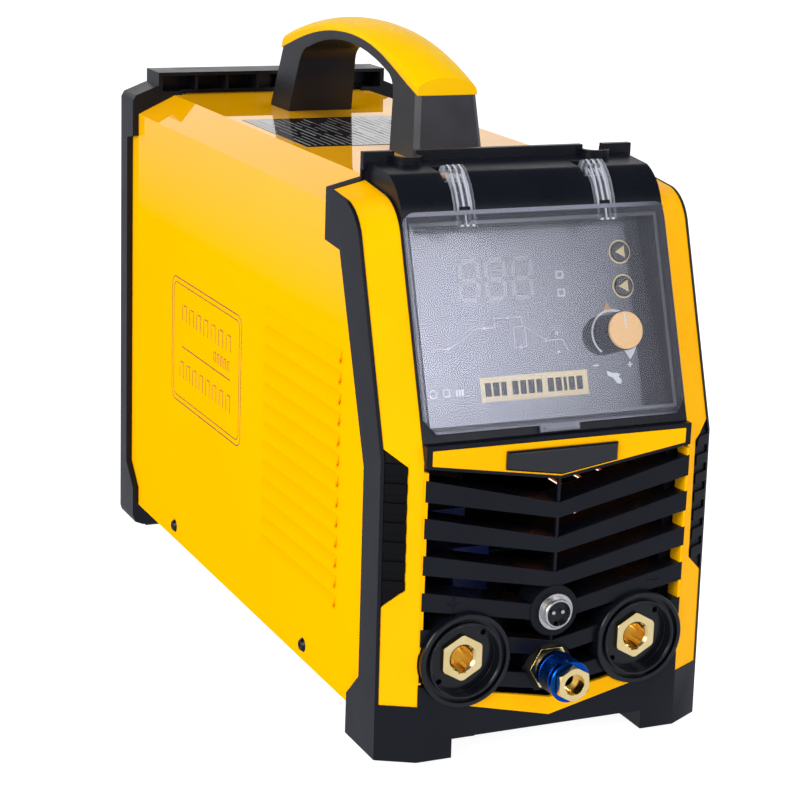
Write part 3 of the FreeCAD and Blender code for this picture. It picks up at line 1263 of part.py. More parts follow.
nodes = {
    "base_tray": base_tray(),
    "top_cover": case,
    "front_bezel": front_bezel_solid,
    "front_grille": front_grille(),
    "yellow_trim_right": trim_r,
    "yellow_trim_left": mirrored(trim_r),
    "grip_right": grip_r,
    "grip_left": mirrored(grip_r),
    "chevron_upper": chevron_upper(),
    "chevron_lower": chevron_lower(),
    "badge_plate": badge_plate(),
    "socket_cup_left": socket_cup(-SOCKET_X),
    "socket_cup_right": socket_cup(SOCKET_X),
    "socket_insert_left": socket_insert(-SOCKET_X),
    "socket_insert_right": socket_insert(SOCKET_X),
    "connector_nuts": connector_nuts(),
    "output_busbars": output_busbars(),
    "torch_connector_shell": torch_connector_shell(),
    "torch_connector_insert": torch_connector_insert(),
    "torch_connector_pins": torch_connector_pins(),
    "gas_coupling_body": gas_coupling_body(),
    "gas_coupling_nozzle": gas_coupling_nozzle(),
    "gas_coupling_sleeve": gas_coupling_sleeve(),
    "coupling_spring": coupling_spring(),
    "flip_cover": flip_cover(),
    "hinge_pins": hinge_pins(),
    "control_panel": control_panel(),
    "panel_overlay": panel_overlay(),
    "display_module": display_module(),
    "control_board": control_board(),
    "button_upper": button(BUTTON_V[0]),
    "button_lower": button(BUTTON_V[1]),
    "encoder_body": encoder_body(),
    "encoder_plunger": encoder_plunger(),
    "encoder_shaft": encoder_shaft(),
    "knob": knob(),
    "knob_cap": knob_cap(),
    "cover_screws": cover_screws(),
    "handle_body": handle_body(),
    "handle_cover": handle_cover(),
    "rear_bezel": rear_bezel(),
    "rear_panel": rear_panel(),
    "fan_frame": fan_frame(),
    "fan_rotor": fan_rotor(),
    "fan_guard": fan_guard(),
    "pan_screws": pan_screws(),
    "power_switch_housing": power_switch_housing(),
    "power_switch_rocker": power_switch_rocker(),
    "gas_inlet": gas_inlet(),
    "gas_valve": gas_valve(),
    "valve_core": valve_core(),
    "mains_gland": mains_gland(),
    "heatsinks": heatsinks(),
    "main_board": main_board(),
    "capacitors": capacitors(),
    "transformer": transformer(),
    "hf_unit": hf_unit(),
    "output_choke": output_choke(),
    "foot_pads": foot_pads(),
    "rating_label": rating_label(),
}

for name, shape in nodes.items():
    placed = shape.copy()
    placed.translate(PLACE)
    placed.exportStep(os.path.join("parts", name + ".step"))
    b = placed.BoundBox
    print("%-24s solids %2d valid %s vol %10.1f  x %7.1f %7.1f  y %7.1f %7.1f  z %7.1f %7.1f" % (
        name, len(placed.Solids), placed.isValid(), placed.Volume,
        b.XMin, b.XMax, b.YMin, b.YMax, b.ZMin, b.ZMax))
print("nodes", len(nodes))
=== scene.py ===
import math

import bmesh
import bpy
from mathutils import Matrix, Vector


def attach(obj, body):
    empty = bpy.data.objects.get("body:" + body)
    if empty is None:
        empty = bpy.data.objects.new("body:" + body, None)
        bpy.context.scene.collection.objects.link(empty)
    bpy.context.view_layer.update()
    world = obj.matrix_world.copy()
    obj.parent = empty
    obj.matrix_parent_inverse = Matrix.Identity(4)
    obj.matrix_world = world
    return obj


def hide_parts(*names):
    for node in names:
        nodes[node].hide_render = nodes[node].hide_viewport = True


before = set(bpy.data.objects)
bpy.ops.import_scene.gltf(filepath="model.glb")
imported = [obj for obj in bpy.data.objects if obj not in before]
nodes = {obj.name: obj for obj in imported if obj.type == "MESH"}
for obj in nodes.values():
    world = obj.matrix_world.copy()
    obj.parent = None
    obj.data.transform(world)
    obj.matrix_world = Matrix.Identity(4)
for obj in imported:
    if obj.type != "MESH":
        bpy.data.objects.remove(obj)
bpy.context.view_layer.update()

# Looks of the TIG welding machine.  The CAD's working frame is used for places:
# P() turns its millimetres into the row frame's metres, and lean_point() does the
# same for a point on the leaning control face.

FRAME_Y = -9.25                 # from the working frame to the row frame
FRAME_Z = 5.0
KINK_Y = -209.8                 # lower edge of the leaning control face
KINK_Z = 160.5
LEAN = math.radians(19.48)
CASE_HALF = 93.5                # half the width of the yellow case
CASE_TOP = 289.35               # top of the rating label on the case
SHOULDER_Z = 277.5              # where the case side meets its sloping shoulder
SHOULDER_ACROSS = 24.5
SHOULDER_RISE = 11.6
GAS_Z = 40.8                    # axis of the gas coupling
ARM_X = 41.0                    # middle of each cover arm
ARM_LOW_Z = 281.0               # the arms start above this height
COVER_FRONT = -2.9              # outer face of the cover, in front of the leaning face
FILM_DEPTH = 16.6               # control film, behind the leaning face
KEY_DEPTH = 15.2                # faces of the two keys, behind the leaning face
CAP_DEPTH = 1.4                 # face of the knob's cap
KNOB_X, KNOB_V = 47.3, 59.8     # V is the distance up the leaning face
KEY_X, KEY_V = 57.0, (103.2, 84.6)
DIGIT_V = 92.6                  # middle of the display's digits


def P(x, y, z):
    return Vector((x, y + FRAME_Y, z + FRAME_Z)) / 1000


def lean_point(x, depth, up):
    """Point x across, `up` along the leaning face and `depth` behind it."""
    y = KINK_Y + up * math.sin(LEAN) + depth * math.cos(LEAN)
    z = KINK_Z + up * math.cos(LEAN) - depth * math.sin(LEAN)
    return P(x, y, z)


# ---- camera ---------------------------------------------------------------------
AZIMUTH = math.radians(-24.601)
ELEVATION = math.radians(15.150)
ROLL = math.radians(2.020)
FOCAL_LENGTH = 103.15
CAMERA_PLACE = (-551.88, -1213.23, 493.48)
back = Vector((math.sin(AZIMUTH) * math.cos(ELEVATION), -math.cos(AZIMUTH) * math.cos(ELEVATION),
               math.sin(ELEVATION)))
level = Vector((math.cos(AZIMUTH), math.sin(AZIMUTH), 0))
upright = back.cross(level)
right = math.cos(ROLL) * level + math.sin(ROLL) * upright
up = -math.sin(ROLL) * level + math.cos(ROLL) * upright
camera_data = bpy.data.cameras.new("camera")
camera_data.sensor_width = 36
camera_data.lens = FOCAL_LENGTH
camera_data.clip_start = 0.05
camera_data.clip_end = 50
camera = bpy.data.objects.new("camera", camera_data)
turn = Matrix((right, up, back)).transposed()
camera.matrix_world = Matrix.Translation(P(*CAMERA_PLACE)) @ turn.to_4x4()
bpy.context.scene.collection.objects.link(camera)
bpy.context.scene.camera = camera
bpy.context.scene.view_settings.view_transform = "Standard"


# ---- materials --------------------------------------------------------------------
NOISE_LOW, NOISE_HIGH = 0.3, 0.7        # the part of a noise's range that most of it is in
MOULD_GRAIN = 2600.0
METAL_EDGE = 0.0003
INK_EDGE = 0.0001
RIM_X = 0.0749                          # the cover's thick rim: outside this, or past these heights
RIM_LOW_Z = 0.1799
RIM_HIGH_Z = 0.2838
SKIN_X = 0.0927                         # outer skin of the case: outside this, or above this height
SKIN_TOP_Z = 0.2933


class Shader:
    """A Principled material with helpers that add procedural detail to it."""

    def __init__(self, name, rough=0.4, metallic=0.0, coat=0.0, coat_rough=0.05, specular=0.5):
        self.material = bpy.data.materials.new(name)
        self.material.use_nodes = True
        self.tree = self.material.node_tree
        self.bsdf = self.tree.nodes["Principled BSDF"]
        self.set("Roughness", rough)
        self.set("Metallic", metallic)
        self.set("Coat Weight", coat)
        self.set("Coat Roughness", coat_rough)
        self.set("Specular IOR Level", specular)
        self.coords = self.node("ShaderNodeTexCoord").outputs["Object"]
        self.normal = None

    def set(self, socket, value):
        self.bsdf.inputs[socket].default_value = value

    def node(self, kind, **values):
        n = self.tree.nodes.new(kind)
        for key, value in values.items():
            setattr(n, key, value)
        return n

    def link(self, a, b):
        self.tree.links.new(a, b)

    def stretched(self, scale):
        """Object coordinates scaled differently along each axis, for brushing and grain."""
        mapping = self.node("ShaderNodeMapping")
        mapping.inputs["Scale"].default_value = scale
        self.link(self.coords, mapping.inputs["Vector"])
        return mapping.outputs["Vector"]

    def noise(self, scale, detail=3.0, vector=None):
        n = self.node("ShaderNodeTexNoise")
        n.inputs["Scale"].default_value = scale
        n.inputs["Detail"].default_value = detail
        n.inputs["Roughness"].default_value = 0.55
        self.link(vector or self.coords, n.inputs["Vector"])
        return n.outputs["Fac"]

    def ramp(self, factor, low, high):
        r = self.node("ShaderNodeValToRGB")
        r.color_ramp.elements[0].position = NOISE_LOW
        r.color_ramp.elements[1].position = NOISE_HIGH
        r.color_ramp.elements[0].color = (*low, 1)
        r.color_ramp.elements[1].color = (*high, 1)
        self.link(factor, r.inputs["Fac"])
        return r.outputs["Color"]

    def map_range(self, value, start, end, low=0.0, high=1.0):
        """`low` at `start`, `high` at `end`, blending between them."""
        m = self.node("ShaderNodeMapRange")
        m.inputs["From Min"].default_value = start
        m.inputs["From Max"].default_value = end
        m.inputs["To Min"].default_value = low
        m.inputs["To Max"].default_value = high
        self.link(value, m.inputs["Value"])
        return m.outputs["Result"]

    def spread(self, factor, low, high, socket):
        """Sends a noise to a socket, stretched over the range from low to high."""
        self.link(self.map_range(factor, NOISE_LOW, NOISE_HIGH, low, high), self.bsdf.inputs[socket])

    def colour(self, low, high, scale):
        self.link(self.ramp(self.noise(scale), low, high), self.bsdf.inputs["Base Color"])

    def place(self):
        """The point's X and Z, and how far it is from the middle plane."""
        parts = self.node("ShaderNodeSeparateXYZ")
        self.link(self.coords, parts.inputs["Vector"])
        across = self.node("ShaderNodeMath", operation="ABSOLUTE")
        self.link(parts.outputs["X"], across.inputs[0])
        return parts.outputs["X"], parts.outputs["Z"], across.outputs["Value"]

    def largest(self, values):
        most = values[0]
        for value in values[1:]:
            either = self.node("ShaderNodeMath", operation="MAXIMUM")
            self.link(most, either.inputs[0])
            self.link(value, either.inputs[1])
            most = either.outputs["Value"]
        return most

    def bump(self, height, strength, distance):
        b = self.node("ShaderNodeBump")
        b.inputs["Strength"].default_value = strength
        b.inputs["Distance"].default_value = distance
        self.link(height, b.inputs["Height"])
        if self.normal:
            self.link(self.normal, b.inputs["Normal"])
        self.normal = b.outputs["Normal"]
        self.link(self.normal, self.bsdf.inputs["Normal"])

    def soft_edges(self, radius):
        """Rounds the shading of sharp edges, as a mould's or a brush's radius does."""
        b = self.node("ShaderNodeBevel", samples=4)
        b.inputs["Radius"].default_value = radius
        self.normal = b.outputs["Normal"]
        self.link(self.normal, self.bsdf.inputs["Normal"])


def moulded(name, low, high, rough, grain, strength, coat=0.0, specular=0.5, edge=0.0006):
    """Injection-moulded plastic: fine spark-eroded grain, slow cloudy change of gloss."""
    s = Shader(name, rough=rough, coat=coat, specular=specular)
    s.colour(low, high, 18.0)
    s.spread(s.noise(35.0, 4.0), rough - 0.05, rough + 0.06, "Roughness")
    s.soft_edges(edge)
    s.bump(s.noise(MOULD_GRAIN, 2.0), strength, grain)
    return s.material


def metal(name, low, high, rough, stretch, strength=0.08):
    """Turned, drawn or rolled metal with fine tool lines and uneven tarnish."""
    s = Shader(name, rough=rough, metallic=1.0)
    s.colour(low, high, 120.0)
    lines = s.noise(900.0, 2.0, vector=s.stretched(stretch))
    s.spread(lines, rough - 0.06, rough + 0.1, "Roughness")
    s.soft_edges(METAL_EDGE)
    s.bump(lines, strength, 0.00008)
    return s.material


def clear(name, haze_and_rim_highlight, haze_share, shine, rough, rim_highlight_share):
    """Clear moulded polycarbonate: passes light straight on, mirrors at a slant, a little haze.
    Its thick rim shows more of the pale haze colour as painted highlight, less on the right.
    """
    s = Shader(name)
    through = s.node("ShaderNodeBsdfTransparent")
    s.link(s.ramp(s.noise(14.0), (0.92, 0.93, 0.95), (0.96, 0.97, 0.98)), through.inputs["Color"])
    gloss = s.node("ShaderNodeBsdfGlossy")
    gloss.inputs["Roughness"].default_value = rough
    fresnel = s.node("ShaderNodeFresnel")
    fresnel.inputs["IOR"].default_value = shine
    mirror = s.node("ShaderNodeMixShader")
    s.link(fresnel.outputs["Fac"], mirror.inputs["Fac"])
    s.link(through.outputs["BSDF"], mirror.inputs[1])
    s.link(gloss.outputs["BSDF"], mirror.inputs[2])
    s.set("Base Color", (*haze_and_rim_highlight, 1))
    s.spread(s.noise(40.0), 0.3, 0.4, "Roughness")
    veil = s.node("ShaderNodeMixShader")
    x, z, across = s.place()
    # painted highlight on the thick rim: more of the pale haze colour there, weaker towards the right
    rim = s.largest([s.map_range(across, RIM_X, RIM_X + 0.0003),
                     s.map_range(z, RIM_LOW_Z, RIM_LOW_Z - 0.0004),
                     s.map_range(z, RIM_HIGH_Z, RIM_HIGH_Z + 0.0004)])
    share = s.node("ShaderNodeMapRange")
    share.inputs["To Min"].default_value = haze_share
    s.link(s.map_range(x, 0.04, 0.074, rim_highlight_share, rim_highlight_share * 0.22), share.inputs["To Max"])
    s.link(rim, share.inputs["Value"])
    s.link(share.outputs["Result"], veil.inputs["Fac"])
    s.link(mirror.outputs["Shader"], veil.inputs[1])
    s.link(s.bsdf.outputs["BSDF"], veil.inputs[2])
    s.link(veil.outputs["Shader"], s.tree.nodes["Material Output"].inputs["Surface"])
    return s.material


def film(name, low, high, rough, ripple, specular=0.5):
    """Glossy printed film: faint brushed grain along x and a slight ripple in its reflections."""
    s = Shader(name, rough=rough, specular=specular)
    grain = s.noise(300.0, 3.0, vector=s.stretched((0.06, 1, 8)))
    s.link(s.ramp(grain, low, high), s.bsdf.inputs["Base Color"])
    s.spread(grain, rough - 0.02, rough + 0.05, "Roughness")
    s.bump(s.noise(14.0, 1.0), 1.0, ripple)
    return s.material


BLACK = moulded("black_moulded", (0.0035, 0.0042, 0.0075), (0.005, 0.006, 0.010), 0.30, 0.00006, 0.12,
                specular=0.16)
HANDLE_BLACK = moulded("handle_moulded", (0.008, 0.009, 0.013), (0.011, 0.012, 0.017), 0.34, 0.00006, 0.14,
                       specular=0.27)
BLACK_GLOSS = moulded("black_gloss", (0.003, 0.0032, 0.005), (0.005, 0.0052, 0.007), 0.14, 0.00003, 0.03)
CUP_BLACK = moulded("cup_black", (0.003, 0.0035, 0.006), (0.0045, 0.0055, 0.008), 0.2, 0.00003, 0.06,
                    specular=0.3)
GRIP = moulded("grip_rubber", (0.0012, 0.0013, 0.0018), (0.002, 0.002, 0.003), 0.4, 0.00008, 0.3,
               specular=0.1)
YELLOW_PLASTIC = moulded("yellow_moulded", (0.86, 0.40, 0.0), (0.90, 0.43, 0.0), 0.28, 0.00004, 0.05,
                         specular=0.03)
HANDLE_YELLOW = moulded("handle_yellow", (0.77, 0.445, 0.0), (0.80, 0.47, 0.0), 0.28, 0.00004, 0.05,
                        specular=0.02)
PANEL = film("panel_film", (0.040, 0.043, 0.052), (0.058, 0.062, 0.074), 0.06, 0.0004, specular=0.9)
KEY = moulded("key_cap", (0.012, 0.013, 0.016), (0.018, 0.019, 0.022), 0.25, 0.00004, 0.05)
WINDOW = film("display_window", (0.046, 0.049, 0.058), (0.060, 0.064, 0.076), 0.06, 0.0004, specular=0.9)
ORANGE = moulded("orange_cap", (1.0, 0.56, 0.17), (1.0, 0.60, 0.20), 0.35, 0.00003, 0.05)
# the cap is given a faint glow by emission: painted light, as it is no lamp
for socket, value in (("Emission Color", (1.0, 0.62, 0.34, 1)), ("Emission Strength", 0.22)):
    ORANGE.node_tree.nodes["Principled BSDF"].inputs[socket].default_value = value
WHITE_INK = film("white_ink", (0.90, 0.92, 0.95), (0.96, 0.98, 1.0), 0.1, 0.0004, specular=0.9)
ORANGE_INK = moulded("orange_ink", (0.95, 0.48, 0.12), (1.0, 0.52, 0.14), 0.5, 0.00002, 0.05, edge=INK_EDGE)
YELLOW_INK = film("yellow_ink", (0.90, 0.68, 0.27), (0.95, 0.74, 0.31), 0.1, 0.0004, specular=0.7)
GREY_INK = moulded("grey_ink", (0.055, 0.054, 0.056), (0.064, 0.063, 0.066), 0.4, 0.00002, 0.05,
                   edge=INK_EDGE)
FAINT_INK = film("faint_ink", (0.15, 0.145, 0.13), (0.18, 0.175, 0.16), 0.08, 0.0004, specular=0.9)
LINE_INK = film("line_ink", (0.40, 0.39, 0.37), (0.46, 0.45, 0.43), 0.08, 0.0004, specular=0.9)
BLACK_INK = moulded("black_ink", (0.10, 0.045, 0.003), (0.13, 0.06, 0.005), 0.4, 0.00002, 0.05,
                   edge=INK_EDGE)
LABEL = moulded("label_film", (0.004, 0.004, 0.005), (0.006, 0.006, 0.007), 0.08, 0.00002, 0.02, coat=0.6)
LABEL_INK = moulded("label_ink", (0.20, 0.205, 0.22), (0.28, 0.285, 0.30), 0.3, 0.00002, 0.05,
                    edge=INK_EDGE)
RUBBER = moulded("foot_rubber", (0.005, 0.005, 0.006), (0.008, 0.008, 0.009), 0.7, 0.0001, 0.4)
BOARD = moulded("solder_mask", (0.006, 0.035, 0.014), (0.010, 0.050, 0.020), 0.4, 0.00005, 0.2)
BLUE_POT = moulded("blue_potting", (0.004, 0.020, 0.16), (0.006, 0.028, 0.20), 0.35, 0.00004, 0.1)
# capacitors, transformer, choke, heatsinks and base tray all near black: painted shade for the case's dark
# inside
INNER_SHADE = moulded("inner_painted_shade", (0.006, 0.006, 0.007), (0.010, 0.010, 0.011), 0.6, 0.0001, 0.3)
BRASS = metal("brass", (0.88, 0.66, 0.27), (0.95, 0.75, 0.38), 0.16, (1, 12, 1), strength=0.04)
STEEL = metal("zinc_steel", (0.50, 0.50, 0.51), (0.60, 0.60, 0.62), 0.3, (1, 10, 1))
BLACK_SCREW = metal("black_oxide", (0.02, 0.02, 0.022), (0.035, 0.035, 0.037), 0.35, (1, 1, 8))
NICKEL = metal("nickel", (0.50, 0.49, 0.48), (0.60, 0.58, 0.56), 0.2, (1, 24, 1), strength=0.5)
ALUMINIUM = metal("aluminium", (0.55, 0.56, 0.57), (0.64, 0.65, 0.66), 0.35, (1, 8, 1))
# the busbars' copper is darkened to near black: painted shade inside the case
COPPER = metal("copper", (0.10, 0.045, 0.03), (0.13, 0.06, 0.04), 0.5, (1, 8, 1))
BLUE_METAL = metal("blue_anodised", (0.002, 0.055, 0.36), (0.004, 0.08, 0.46), 0.2, (1, 3, 1))
COVER = clear("clear_cover", (0.36, 0.37, 0.46), 0.045, 1.2, 0.03, 0.34)
COVER_SIDE = clear("clear_cover_side", (0.30, 0.31, 0.38), 0.03, 1.02, 0.03, 0.06)


def ribbed_clear():
    """Clear arm of the cover: moulded ribs run along it, with clear valleys between them; the
    ribs are partly opaque and pale, which is painted highlight.
    """
    s = Shader("clear_arm", rough=0.12, specular=0.9)
    # pale colour shown where the ribs are opaque: painted highlight
    s.set("Base Color", (0.60, 0.62, 0.70, 1))
    wave = s.node("ShaderNodeTexWave")
    wave.inputs["Scale"].default_value = 96.0
    wave.inputs["Distortion"].default_value = 1.2
    wave.inputs["Detail Scale"].default_value = 60.0
    s.link(s.coords, wave.inputs["Vector"])
    s.link(s.map_range(wave.outputs["Fac"], 0.35, 0.9, 0.07, 0.75), s.bsdf.inputs["Alpha"])
    s.bump(wave.outputs["Fac"], 0.8, 0.0006)
    return s.material


ARM_CLEAR = ribbed_clear()


def case_paint():
    """Baked yellow paint on folded steel: glossy on the flat top, less so down the sides, and
    near black on the inside, as painted shade."""
    s = Shader("yellow_paint", rough=0.35, coat_rough=0.015, specular=0.0)
    s.spread(s.noise(60.0, 3.0), 0.32, 0.40, "Roughness")
    x, z, across = s.place()
    s.link(s.map_range(z, P(0, 0, 215).z, P(0, 0, 290).z), s.bsdf.inputs["Coat Weight"])
    slope = math.hypot(SHOULDER_ACROSS, SHOULDER_RISE)
    along = s.node("ShaderNodeVectorMath", operation="DOT_PRODUCT")
    along.inputs[1].default_value = (SHOULDER_RISE / slope, 0, SHOULDER_ACROSS / slope)
    folded = s.node("ShaderNodeCombineXYZ")
    s.link(across, folded.inputs["X"])
    s.link(z, folded.inputs["Z"])
    s.link(folded.outputs["Vector"], along.inputs[0])
    shoulder = (SHOULDER_RISE * CASE_HALF + SHOULDER_ACROSS * (SHOULDER_Z + FRAME_Z)) / slope / 1000
    skin = s.largest([s.map_range(across, SKIN_X, SKIN_X + 0.0002),
                      s.map_range(z, SKIN_TOP_Z, SKIN_TOP_Z + 0.0003),
                      s.map_range(along.outputs["Value"], shoulder - 0.0008, shoulder - 0.0005)])
    paint = s.ramp(s.noise(5.0, 3.0), (0.88, 0.405, 0.0), (0.91, 0.425, 0.0))
    # near-black colour for the inside of the case: painted shade for its dark interior
    inside_painted_shade = s.ramp(s.noise(40.0, 3.0), (0.006, 0.006, 0.006), (0.011, 0.010, 0.010))
    mix = s.node("ShaderNodeMix", data_type="RGBA")
    s.link(skin, mix.inputs["Factor"])
    s.link(inside_painted_shade, mix.inputs["A"])
    s.link(paint, mix.inputs["B"])
    s.link(mix.outputs["Result"], s.bsdf.inputs["Base Color"])
    return s.material


YELLOW = case_paint()

FINISH = {
    HANDLE_BLACK: ["handle_body"],
    BLACK: ["front_bezel", "front_grille", "rear_bezel", "fan_frame", "fan_rotor", "mains_gland",
            "power_switch_housing", "power_switch_rocker", "knob"],
    BLACK_GLOSS: ["badge_plate"],
    CUP_BLACK: ["socket_cup_left", "socket_cup_right", "torch_connector_insert"],
    GRIP: ["grip_right", "grip_left"],
    YELLOW: ["top_cover", "rear_panel"],
    YELLOW_PLASTIC: ["yellow_trim_right", "yellow_trim_left", "chevron_upper", "chevron_lower"],
    HANDLE_YELLOW: ["handle_cover"],
    PANEL: ["panel_overlay", "control_panel"],
    KEY: ["button_upper", "button_lower"],
    WINDOW: ["display_module"],
    ORANGE: ["knob_cap"],
    LABEL: ["rating_label"],
    RUBBER: ["foot_pads"],
    BOARD: ["control_board", "main_board"],
    BLUE_POT: ["hf_unit"],
    INNER_SHADE: ["capacitors", "transformer", "output_choke", "heatsinks", "base_tray"],
    BRASS: ["socket_insert_left", "socket_insert_right", "gas_coupling_body", "gas_coupling_nozzle",
            "gas_inlet", "gas_valve"],
    STEEL: ["coupling_spring", "hinge_pins", "encoder_plunger", "encoder_shaft", "pan_screws", "valve_core",
            "connector_nuts", "fan_guard"],
    BLACK_SCREW: ["cover_screws"],
    NICKEL: ["torch_connector_shell", "torch_connector_pins"],
    ALUMINIUM: ["encoder_body"],
    COPPER: ["output_busbars"],
    BLUE_METAL: ["gas_coupling_sleeve"],
    COVER: ["flip_cover"],
}
for material, names in FINISH.items():
    for name in names:
        mesh = nodes[name].data
        mesh.materials.clear()
        mesh.materials.append(material)

cover_mesh = nodes["flip_cover"].data
cover_mesh.materials.append(ARM_CLEAR)
cover_mesh.materials.append(COVER_SIDE)
for face in cover_mesh.polygons:
    if abs(abs(face.center.x) - ARM_X / 1000) < 0.0062 and face.center.z > P(0, 0, ARM_LOW_Z).z:
        face.material_index = 1
    elif abs(face.normal.x) > 0.9:
        face.material_index = 2

# ---- rounded edges on the CAD's own meshes ----------------------------------------
ROUNDED = {
    "front_bezel": 0.7, "rear_bezel": 0.7, "handle_body": 1.0, "front_grille": 0.35, "yellow_trim_right": 0.5,
    "yellow_trim_left": 0.5, "chevron_upper": 0.3, "chevron_lower": 0.3, "grip_right": 0.4, "grip_left": 0.4,
    "socket_cup_left": 0.25, "socket_cup_right": 0.25, "badge_plate": 0.2, "knob": 0.3, "foot_pads": 0.4,
}


def rounded(obj, width_mm):
    weld = obj.modifiers.new("weld", "WELD")
    weld.merge_threshold = 0.00002
    bevel = obj.modifiers.new("round", "BEVEL")
    bevel.width = width_mm / 1000
    bevel.segments = 2
    bevel.limit_method = "ANGLE"
    bevel.angle_limit = math.radians(32)
    normals = obj.modifiers.new("shade", "WEIGHTED_NORMAL")
    normals.keep_sharp = False
    normals.weight = 60


for name, width in ROUNDED.items():
    rounded(nodes[name], width)


# ---- printed marks and small fittings ---------------------------------------------------
class Marks:
    """Thin printed marks on one plane, gathered into one closed mesh."""

    def __init__(self, place, thick):
        self.place = place
        self.thick = thick
        self.bm = bmesh.new()

    def loop(self, points, depth):
        return [self.bm.verts.new(self.place(a, b, depth)) for a, b in points]

    def shape(self, points):
        """A filled outline, its points counter-clockwise seen from outside."""
        front = self.loop(points, -self.thick)
        rear = self.loop(points, 0)
        self.bm.faces.new(front)
        self.bm.faces.new(list(reversed(rear)))
        for i in range(len(points)):
            j = (i + 1) % len(points)
            self.bm.faces.new((front[i], rear[i], rear[j], front[j]))

    def band(self, outer, inner):
        """A closed band between two outlines with the same number of points."""
        rings = [self.loop(outer, -self.thick), self.loop(inner, -self.thick),
                 self.loop(inner, 0), self.loop(outer, 0)]
        for i in range(len(outer)):
            j = (i + 1) % len(outer)
            for k in range(4):
                a, b = rings[k], rings[(k + 1) % 4]
                self.bm.faces.new((a[i], a[j], b[j], b[i]))

    def bar(self, x0, x1, y0, y1):
        self.shape([(x0, y0), (x1, y0), (x1, y1), (x0, y1)])

    def stroke(self, ax, ay, bx, by, width):
        length = math.hypot(bx - ax, by - ay)
        px, py = -(by - ay) / length * width / 2, (bx - ax) / length * width / 2
        self.shape([(ax - px, ay - py), (bx - px, by - py), (bx + px, by + py), (ax + px, ay + py)])

    def make(self, name, material, body):
        bmesh.ops.recalc_face_normals(self.bm, faces=self.bm.faces)
        mesh = bpy.data.meshes.new(name)
        self.bm.to_mesh(mesh)
        self.bm.free()
        mesh.materials.append(material)
        obj = bpy.data.objects.new(name, mesh)
        bpy.context.scene.collection.objects.link(obj)
        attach(obj, body)


def circle(cx, cy, radius, count=48):
    return [(cx + radius * math.cos(2 * math.pi * i / count), cy + radius * math.sin(2 * math.pi * i / count))
            for i in range(count)]


def rounded_box(x0, x1, y0, y1, radius, steps=6):
    points = []
    for cx, cy, start in ((x1 - radius, y0 + radius, -90), (x1 - radius, y1 - radius, 0),
                          (x0 + radius, y1 - radius, 90), (x0 + radius, y0 + radius, 180)):
        for k in range(steps + 1):
            a = math.radians(start + 90 * k / steps)
            points.append((cx + radius * math.cos(a), cy + radius * math.sin(a)))
    return points


def on_film(x, v, depth):
    return lean_point(x, FILM_DEPTH + depth, v)


def on_key(x, v, depth):
    return lean_point(x, KEY_DEPTH + depth, v)


def on_cap(x, v, depth):
    return lean_point(x, CAP_DEPTH + depth, v)


def on_left_side(y, z, depth):
    return P(-CASE_HALF + depth, y, z)


def on_top(x, y, depth):
    return P(x, y, CASE_TOP - depth)


# the seven strokes of a digit, from its middle, and the three digits of the display
digits = Marks(on_film, 0.08)
SLANT = 0.06
SEGMENTS = [((-4.0, 10.2), (4.0, 10.2)), ((-4.0, 0), (4.0, 0)), ((-4.0, -10.2), (4.0, -10.2)),
            ((-5.2, 1.2), (-5.2, 9.2)), ((5.2, 1.2), (5.2, 9.2)), ((-5.2, -9.2), (-5.2, -1.2)),
            ((5.2, -9.2), (5.2, -1.2))]
for cx in (-34.0, -18.6, -3.0):
    for (ax, ay), (bx, by) in SEGMENTS:
        digits.stroke(cx + ax + SLANT * ay, DIGIT_V + ay, cx + bx + SLANT * by, DIGIT_V + by, 2.3)
digits.make("display_segments", FAINT_INK, "machine")

# faint line drawing of a welding cycle, with a dot at each of its settings
diagram = Marks(on_film, 0.08)
PATH = [(-59, 57.9), (-50, 57.9), (-42, 61.2), (-33, 67.2), (-22, 67.2), (-22, 72), (-6, 72), (-6, 66.8),
        (-11.4, 66.8), (-11.4, 56.0), (-4.6, 56.0), (-4.6, 66.8), (2, 62), (7, 58.5), (17, 58.5),
        (19.6, 52.5)]
for (ax, ay), (bx, by) in zip(PATH, PATH[1:]):
    diagram.stroke(ax, ay, bx, by, 0.45)
for cx, cy in ((-50, 57.9), (-28, 67.2), (-14, 72), (-8, 56), (7, 58.5), (14, 62), (14, 52)):
    diagram.shape(circle(cx, cy, 0.9, 16))
diagram.make("process_diagram", LINE_INK, "machine")

lamps = Marks(on_film, 0.08)
for cv in (92.9, 83.3):
    lamps.band(rounded_box(17.0, 21.6, cv - 2.2, cv + 2.2, 0.5, 3),
               rounded_box(18.0, 20.6, cv - 1.2, cv + 1.2, 0.4, 3))
lamps.make("indicator_windows", LINE_INK, "machine")

# a yellow plaque with plain blocks where its lettering would be
plaque = Marks(on_film, 0.10)
plaque.bar(-34.0, 29.5, 28.5, 41.6)
plaque.make("panel_plaque", YELLOW_INK, "machine")
blocks = Marks(lambda x, v, d: lean_point(x, FILM_DEPTH - 0.10 + d, v), 0.08)
x = -31.4
for width in (3.5, 3.6, 3.0, 0, 3.5, 3.5, 3.6, 3.3, 0, 3.6, 3.5, 1.8, 3.6, 3.5):
    if width:
        blocks.bar(x, x + width, 31.4, 38.6)
        x += width + 1.2
    else:
        x += 2.2
blocks.make("plaque_blocks", GREY_INK, "machine")

